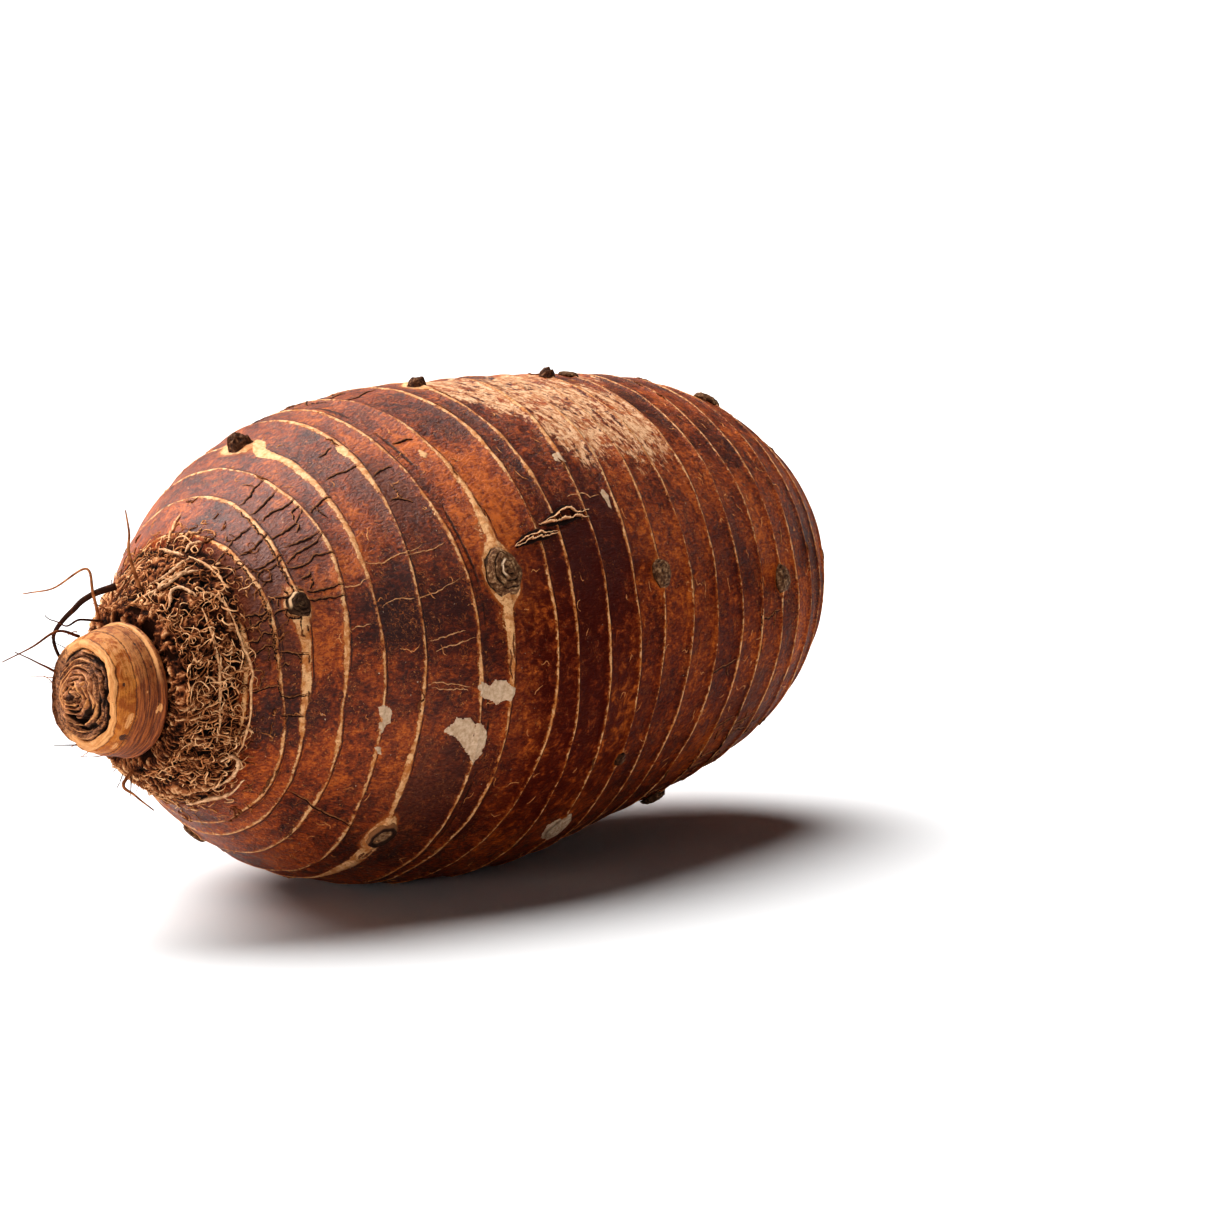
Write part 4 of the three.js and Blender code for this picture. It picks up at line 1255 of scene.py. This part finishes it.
def build_crown_wires():
    """Longer dry roots and leaf fibres that stand off the crown, the given ones and short hairs."""
    rng = np.random.default_rng(22)
    origin = centre_line(0)
    paths, radii = [], []

    def add(route, radius, wiggle):
        curve = smooth_path(route, WIRE_STEPS)
        shake = noise_at(curve + radius * 90, 4.0, 51)[:, None] * rng.normal(0, 1, 3) * wiggle
        paths.append(origin + curve + shake * np.linspace(0, 1, WIRE_STEPS)[:, None])
        radii.append(radius * np.linspace(1.1, 0.35, WIRE_STEPS))

    for radius, route in CROWN_WIRES:
        add(route, radius, 0.5)
    for _ in range(SHORT_WIRES):
        turn = rng.uniform(0, TAU)
        start = np.array([rng.uniform(2, 12), 0, 0]) + outward(turn) * rng.uniform(18.5, 21.5)
        grow = outward(turn + rng.normal(0, 0.5)) * rng.uniform(0.4, 1)
        grow = grow + np.array([rng.uniform(-1.1, 0.4), 0, 0])
        size = rng.uniform(2.5, 7)
        bend = rng.normal(0, 0.5, 3) * size
        middle = start + grow * size * 0.5 + bend * 0.2
        end = start + grow * size + bend * 0.5
        add([start - grow * 1.5, start, middle, end], rng.uniform(0.13, 0.26), 0.4)
    points, faces = tube_batch(np.stack(paths), np.stack(radii), WIRE_SIDES)
    shade = rng.uniform(0.1, 0.75, len(paths))
    shade[0] = 0.0
    values = {"shade": np.repeat(shade, WIRE_STEPS * WIRE_SIDES), "lift": np.full(len(points), 0.2)}
    add_object("crown_wires", points, faces, root_material(), values)


def root_material():
    """Dry thin roots, tan where they are lifted and soil-brown below, the darkening near the soil
    painted shade.
    """
    s = Shader("dry roots")
    mottle = s.noise(1.6, 3, 0.6, 61)
    shade = s.stir(mottle, 1.2, s["shade"])
    # Painted shade: the lower a fibre lies over the soil, the darker.
    shade = s.math("MULTIPLY_ADD", s["lift"], 0.30, s.times(shade, 0.72))
    colour = s.tones(shade, [(0.06, (0.030, 0.010, 0.005)), (0.38, (0.20, 0.062, 0.020)),
                             (0.62, (0.50, 0.205, 0.078)), (0.92, (0.82, 0.47, 0.24))])
    return s.finish(colour, 0.8, s.bump(mottle, 0.12), 0.10)


# ------------------------------------------------------------------ cracks, flakes and curls

# Routes of cracks on the skin: (station, degrees).
PALE_CRACKS = [
    [(48, 52.5), (50.3, 53.6), (53.5, 55.3), (56.3, 54.9), (59.4, 54.8), (62.4, 54.9), (65.7, 54.4)],
    [(59.5, 55.7), (62.9, 56), (66.1, 56.6), (68.9, 56.3), (71.8, 55.8)],
    [(40.9, 58.1), (42.6, 58), (44.7, 58.8), (46.9, 58.2), (48.7, 57.3)],
    [(48.7, 67.7), (51.4, 66.4), (54.6, 66.9), (58.7, 67.9), (62.7, 67.7), (66.9, 66.9), (70.7, 65.9)],
    [(58.7, 80.1), (62.9, 79.5), (68.2, 78.9)],
    [(60.1, 82.9), (64.6, 82), (67.8, 81.5), (71.3, 81.2)],
    [(56.5, 92.2), (59, 91.3), (62.1, 91.8), (65.2, 92.2), (68.6, 93.2)],
    [(58.5, 92.6), (62.1, 93.2), (65.7, 93.3), (68.1, 93.9)],
    [(39.8, 71.7), (41.7, 71.4), (45, 71.8)],
    [(111.7, 53.4), (114.7, 53.4), (117.9, 53.6), (119.6, 54.8), (122.8, 54.7)],
]
DARK_CRACKS = [
    [(31.8, 137.7), (35.4, 138.2), (40.3, 139.5), (45.2, 140.2), (50.7, 140.5), (52.4, 139.9)],
    [(57.4, 23), (60.5, 23.6), (64.6, 24.6), (66.6, 25.1)],
    [(62.6, 14.7), (65.7, 14.6), (68.5, 14.4)], [(66.7, 30.5), (70.4, 30), (73.7, 30.3)],
    [(79.5, 24.1), (82.6, 24.5), (84.7, 25.4)],
]
CRACK_STEPS = 26
CRACK_SIDES = 5
RING_FLAKES = 110
FINE_HAIRS = 420
# Mean radius that turns a hair's steps round the corm into degrees.
HAIR_GIRTH = 50


def build_cracks(name, routes, half_width, lift, material, shift=0.0):
    """Thin ragged lines along routes of (station, degrees), moved aside by a shift in mm."""
    rng = np.random.default_rng(len(routes))
    paths, radii = [], []
    for route in routes:
        curve = smooth_path([(s, math.radians(a), 0) for s, a in route], CRACK_STEPS)
        spot = curve * [1, 60, 1]
        station = curve[:, 0] + 0.35 * noise_at(spot, 1.7, 71)
        aside = 0.35 * noise_at(spot, 1.3, 72) + 0.15 * noise_at(spot, 0.5, 73) + shift
        angle = curve[:, 1] + aside / smooth_through(OUTLINE, station)
        paths.append(surface_point(station, angle, lift))
        taper = np.sin(np.linspace(0.12, math.pi - 0.12, CRACK_STEPS)) ** 0.5
        radii.append(half_width * taper * rng.uniform(0.6, 1.3, CRACK_STEPS))
    points, faces = tube_batch(np.stack(paths), np.stack(radii), CRACK_SIDES)
    add_object(name, points, faces, material)


def along_ring(ring, angles, offset, scatter, rng):
    """Route beside a ring, at an offset along the corm."""
    return [(float(ring_station(ring, a)) + offset + rng.normal(0, scatter), math.degrees(a))
            for a in angles]


def plate_cracks():
    """Routes of the cracks between plates: from ring to ring, with short cross cracks."""
    rng = np.random.default_rng(17)
    routes = []
    for ring in range(1, RING_COUNT - 1):
        degrees = 0.0
        while degrees < 360:
            angle = np.radians(np.array(degrees))
            start, end = (float(ring_station(r, angle)) for r in (ring, ring + 1))
            degrees += math.degrees(rng.uniform(1.9, 4.6) / float(smooth_through(OUTLINE, start)))
            strength = float(blobs(PLATED_PATCHES, np.array((start + end) / 2), angle))
            if rng.uniform() > strength:
                continue
            if rng.uniform() < strength:
                span = math.radians(rng.uniform(7, 18))
                routes.append(along_ring(ring, angle + np.linspace(0, span, 4), -0.55, 0.12, rng))
            partial = rng.uniform() < 0.3
            low, high = sorted(rng.uniform(-0.15, 1.15, 2)) if partial else (0.0, 1.0)
            lean = rng.normal(0, 1.6)
            bends = [(start + (end - start) * (low + (high - low) * share),
                      degrees + lean * share + rng.normal(0, 0.9)) for share in (0, 0.33, 0.67, 1)]
            routes.append(bends)
            if rng.uniform() < 0.55:
                station, side = bends[rng.integers(1, 3)]
                sweep = rng.uniform(3, 7) * rng.choice([-1, 1])
                routes.append([(station, side), (station + rng.normal(0, 0.5), side + sweep * 0.5),
                               (station + rng.normal(0, 0.8), side + sweep)])
    return routes


def ring_flakes():
    """Routes of short lifted flakes along the rings."""
    rng = np.random.default_rng(27)
    routes = []
    for ring in rng.integers(2, RING_COUNT, RING_FLAKES):
        turn = rng.uniform(0, TAU) + np.linspace(0, rng.uniform(0.05, 0.12), 4)
        offset = rng.choice([-0.5, 0.45])
        routes.append(along_ring(ring, turn, offset, 0.2, rng))
    return routes


def fine_hairs():
    """Routes of short hair splits, scattered over the skin."""
    rng = np.random.default_rng(37)
    routes = []
    for _ in range(FINE_HAIRS):
        station, degrees = rng.uniform(28, LENGTH - 12), rng.uniform(0, 360)
        heading, pace = rng.uniform(0, TAU), rng.uniform(0.5, 1.4)
        route = []
        for _ in range(4):
            route.append((station, degrees))
            heading += rng.normal(0, 0.9)
            station += pace * math.cos(heading)
            degrees += math.degrees(pace * math.sin(heading) / HAIR_GIRTH)
        routes.append(route)
    return routes


def plain_skin_material(name, dark, light, rough):
    """Bare flake or lining of one mottled tone."""
    s = Shader(name)
    mottle = s.noise(0.9, 4, 0.6, 81)
    return s.finish(s.tones(mottle, [(0.3, dark), (0.7, light)]), rough, s.bump(mottle, 0.15), 0.12)


# Finishes of what lies along the routes: dark tone, light tone, roughness.
LINE_LOOKS = {
    "split edge": ((0.36, 0.13, 0.04), (0.78, 0.44, 0.22), 0.6),
    "split gap": ((0.008, 0.003, 0.002), (0.035, 0.011, 0.006), 0.8),
    "split lip": ((0.10, 0.030, 0.012), (0.46, 0.19, 0.075), 0.7),
    "flake": ((0.045, 0.014, 0.007), (0.30, 0.11, 0.04), 0.8),
    "hair split": ((0.40, 0.11, 0.025), (0.78, 0.38, 0.15), 0.6),
    "straw": ((0.34, 0.13, 0.045), (0.86, 0.52, 0.28), 0.7),
    "thick root": ((0.30, 0.12, 0.045), (0.84, 0.52, 0.30), 0.7),
    "loose root": ((0.42, 0.16, 0.055), (0.86, 0.52, 0.28), 0.7),
}
PATCH_STEP = 0.3
PATCH_MARGIN = 0.6


def build_patches():
    """Ragged sheets of pale lining where the outer skin has peeled."""
    pale = plain_skin_material("peeled lining", (0.44, 0.27, 0.155), (0.72, 0.52, 0.36), 0.7)
    peach = plain_skin_material("ring lining", (0.58, 0.27, 0.10), (0.90, 0.56, 0.31), 0.7)
    for name, outline in PEELED_PATCHES.items():
        corners = np.array(outline, float)
        middle = corners[:, 1].mean()
        girth = math.radians(1) * float(smooth_through(OUTLINE, corners[:, 0].mean()))
        corners[:, 1] = (corners[:, 1] - middle) * girth
        low, high = corners.min(0) - PATCH_MARGIN, corners.max(0) + PATCH_MARGIN
        x, y = np.meshgrid(*(np.arange(a, b, PATCH_STEP) for a, b in zip(low, high)), indexing="ij")
        spot = np.stack([x, y, np.full_like(x, middle)], -1)
        edge = outline_distance(corners, x, y) + 0.35 * noise_at(spot, 1.3, 61)
        edge += 0.2 * noise_at(spot, 0.6, 62)
        lift = 0.16 * smooth_step(0.1, -0.4, edge) - 0.06 + 0.03 * noise_at(spot, 0.9, 63)
        points = surface_point(x, np.radians(middle + y / girth), lift)
        i, j = np.meshgrid(*(np.arange(n - 1) for n in x.shape), indexing="ij")
        quads = np.stack([i * x.shape[1] + j, (i + 1) * x.shape[1] + j,
                          (i + 1) * x.shape[1] + j + 1, i * x.shape[1] + j + 1], -1).reshape(-1, 4)
        quads = quads[(edge.ravel()[quads] < 0.05).all(1)]
        used, faces = np.unique(quads, return_inverse=True)
        add_object("peeled_" + name, points.reshape(-1, 3)[used], faces.reshape(-1, 4).tolist(),
                   peach if name in PEACH_PATCHES else pale)


# Splits whose two lips stand up: the upper and the lower lip's (station, degrees), lip width.
PEELED_CURLS = {
    "upper": ([(99, 58.2), (103.6, 57.3), (106.4, 56.2), (109.5, 56.1), (112, 57.4), (116.5, 57.6)],
              [(98.2, 58.6), (101.7, 59), (106.1, 59.3), (110.9, 59), (115.6, 59.3)], 2.7),
    "lower": ([(88.6, 61.8), (92.8, 60.3), (96.2, 60), (99.3, 60.4), (102.6, 61)],
              [(88.6, 62.3), (91.8, 62), (95.4, 61.8), (98.6, 61.9), (102.6, 61.3)], 2.1),
}
CURL_STEPS = 60
CURL_ARC = 8
CURL_THICKNESS = 0.14


def build_curls():
    """Ragged lips of skin that have split along the corm and curl away from the gap between them."""
    gap = plain_skin_material("curl gap", (0.006, 0.002, 0.002), (0.02, 0.007, 0.004), 0.9)
    material = curl_material()
    for name, (upper, lower, width) in PEELED_CURLS.items():
        build_cracks("curl_gap_" + name, [upper, lower], 0.75, -0.25, gap)
        for lip, route, side in (("up", upper, -1), ("down", lower, 1)):
            rng = np.random.default_rng(len(name) + side)
            build_lip(f"curl_{name}_{lip}", route, side, width, rng, material)


def build_lip(name, route, side, width, rng, material):
    """One lip: a thin strip along the route, bent up and over to its side."""
    curve = smooth_path([(s, math.radians(a), 0) for s, a in route], CURL_STEPS)
    station = curve[:, 0]
    spot = np.stack([station, 0 * station + side, 0 * station], -1)
    angle = curve[:, 1] + 0.35 * noise_at(spot, 1.3, 92) / smooth_through(OUTLINE, station)
    share = np.clip(np.linspace(0, 1, CURL_STEPS), 0.04, 0.96)
    size = width * (0.7 + 0.5 * noise_at(spot, 1.5, 93) + 0.12 * rng.normal(0, 1, CURL_STEPS))
    size = np.clip(size, 0.3, None) * np.sin(math.pi * share) ** 0.6
    curl = 1.25 + 0.8 * noise_at(spot, 3.0, 94)
    base = surface_point(station, angle, -0.1)
    loops = []
    for i in range(CURL_STEPS):
        _, around, out = skin_frame(station[i], angle[i])
        bend = np.linspace(0, curl[i], CURL_ARC) + 0.3
        inward = size[i] * np.cumsum(np.cos(bend)) / CURL_ARC
        upward = size[i] * np.cumsum(np.sin(bend)) / CURL_ARC
        ridge = base[i] - side * inward[:, None] * around * 0.6 + upward[:, None] * out
        inner = ridge + CURL_THICKNESS * (side * around * np.sin(bend)[:, None]
                                          + out * np.cos(bend)[:, None])
        loops.append(np.concatenate([ridge, inner[::-1]]))
    across = np.linspace(0, 1, CURL_ARC)
    across = np.tile(np.concatenate([across, across[::-1]]), CURL_STEPS)
    faces = closed_faces(CURL_STEPS, 2 * CURL_ARC)
    fix_normals(add_object(name, np.stack(loops), faces, material, {"across": across}, smooth=False))


def curl_material():
    """Split skin, dark at its root and pale at its torn edge."""
    s = Shader("curled skin")
    mottle = s.noise(0.9, 4, 0.6, 81)
    place = s.stir(mottle, 0.7, s["across"])
    colour = s.tones(place, [(0.1, (0.07, 0.022, 0.010)), (0.4, (0.25, 0.085, 0.032)),
                             (0.66, (0.56, 0.25, 0.105)), (0.92, (0.90, 0.56, 0.32))])
    return s.finish(colour, 0.6, s.bump(mottle, 0.2), 0.2)


def build_lines():
    """Every crack, flake, hair, strip and loose root that lies along a route on the skin."""
    splits = DARK_CRACKS + plate_cracks()
    materials = {name: plain_skin_material(name, *look) for name, look in LINE_LOOKS.items()}
    for name, routes, half_width, lift, look, shift in (
            ("pale_splits", PALE_CRACKS, 0.16, -0.02, "split edge", 0),
            ("dark_splits", splits, 0.25, -0.06, "split gap", 0),
            ("split_lips", splits, 0.18, 0.02, "split lip", -0.36),
            ("ring_flakes", ring_flakes(), 0.26, 0.12, "flake", 0),
            ("fine_hairs", fine_hairs(), 0.13, 0.0, "hair split", 0),
            ("straw_strips", MAT_STRIPS, 0.36, 1.4, "straw", 0),
            ("thick_roots", THICK_ROOTS, 0.46, 1.9, "thick root", 0),
            ("loose_roots", LOOSE_ROOTS, 0.32, 0.35, "loose root", 0),
            ("small_loops", SMALL_LOOPS, 0.24, 1.6, "loose root", 0)):
        build_cracks(name, routes, half_width, lift, materials[look], shift)


# ------------------------------------------------------------------ floor, light and camera

STAGE_PROFILE = [(0, 0), (1.5, 0), (3.2, 0), (3.8, 0.04), (4.3, 0.16), (4.6, 0.32), (4.8, 0.52)]
STAGE_SIDES = 96
FLOOR_TONES = (0.78, 0.80)
WORLD_STRENGTH = 0.015
SUN_STRENGTH = 6.0
# Degrees that the overhead light spreads over, and the direction it comes from.
SUN_SOFTNESS = 68
SUN_DIRECTION = (-0.08, 0.56, 1.0)
# Soft boxes: name, place, size and power.
SOFT_BOXES = [("left_front", (-1.28, 0.16, 0.12), (0.9, 0.2), 3.9)]


def build_studio():
    """White sweep under a soft light from above and behind, and one beyond the crown."""
    turn = np.arange(STAGE_SIDES) * TAU / STAGE_SIDES
    rows = [(max(radius, 0.01), height) for radius, height in STAGE_PROFILE]
    points = [(r * math.cos(a), r * math.sin(a), h) for r, h in rows for a in turn]
    faces = grid_faces(len(rows), STAGE_SIDES) + [list(range(STAGE_SIDES))]
    mesh = bpy.data.meshes.new("sweep")
    mesh.from_pydata(points, [], faces)
    mesh.polygons.foreach_set("use_smooth", [True] * len(mesh.polygons))
    sweep = bpy.data.objects.new("sweep", mesh)
    bpy.context.scene.collection.objects.link(sweep)
    shader = Shader("sweep")
    dust = shader.noise(400, 2, 0.5, 95)
    white = shader.tones(dust, [(0, (FLOOR_TONES[0],) * 3), (1, (FLOOR_TONES[1],) * 3)])
    mesh.materials.append(shader.finish(white, 0.9, specular=0.2))

    world = bpy.data.worlds.new("studio")
    bpy.context.scene.world = world
    world.use_nodes = True
    backdrop = world.node_tree.nodes["Background"]
    backdrop.inputs["Color"].default_value = (1, 1, 1, 1)
    backdrop.inputs["Strength"].default_value = WORLD_STRENGTH

    sun = bpy.data.lights.new("overhead", "SUN")
    sun.energy = SUN_STRENGTH
    sun.angle = math.radians(SUN_SOFTNESS)
    place_light("overhead", sun, SUN_DIRECTION)
    for name, location, size, power in SOFT_BOXES:
        box = bpy.data.lights.new(name, "AREA")
        box.shape = "RECTANGLE"
        box.size, box.size_y = size
        box.energy = power
        place_light(name, box, location)


def place_light(name, light, location):
    """Puts a light there, turned toward the corm."""
    lamp = bpy.data.objects.new(name, light)
    lamp.location = location
    lamp.rotation_euler = Vector(location).to_track_quat("Z", "Y").to_euler()
    bpy.context.scene.collection.objects.link(lamp)


CAMERA_AZIMUTH = math.radians(-54)
CAMERA_ELEVATION = math.radians(7.2)
CAMERA_DISTANCE = 1.1
CAMERA_FOCAL_PIXELS = 4690
CAMERA_AIM = Vector((-0.018, 0, 0.0564))
IMAGE_WIDTH = 1214
AIM_PIXEL = (376, 638)
SENSOR_WIDTH = 36


def build_camera():
    """Long lens, a little above the corm and toward its crown."""
    a, e = CAMERA_AZIMUTH, CAMERA_ELEVATION
    back = Vector((math.sin(a) * math.cos(e), -math.cos(a) * math.cos(e), math.sin(e)))
    right = Vector((math.cos(a), math.sin(a), 0))
    up = back.cross(right)
    per_pixel = CAMERA_DISTANCE / CAMERA_FOCAL_PIXELS
    aside = (AIM_PIXEL[0] - IMAGE_WIDTH / 2) * per_pixel
    above = -(AIM_PIXEL[1] - IMAGE_WIDTH / 2) * per_pixel
    data = bpy.data.cameras.new("camera")
    data.sensor_width = SENSOR_WIDTH
    data.sensor_fit = "HORIZONTAL"
    data.lens = CAMERA_FOCAL_PIXELS / IMAGE_WIDTH * SENSOR_WIDTH
    data.clip_start, data.clip_end = 0.05, 100
    camera = bpy.data.objects.new("camera", data)
    camera.location = CAMERA_AIM + back * CAMERA_DISTANCE - right * aside - up * above
    camera.rotation_euler = back.to_track_quat("Z", "Y").to_euler()
    bpy.context.scene.collection.objects.link(camera)
    bpy.context.scene.camera = camera
    bpy.context.scene.view_settings.view_transform = "Standard"
    bpy.context.scene.view_settings.look = "Medium High Contrast"


build_camera()
build_skin()
build_stub()
build_buds()
build_crust()
build_root_mat()
build_crown_wires()
build_lines()
build_patches()
build_curls()
build_studio()
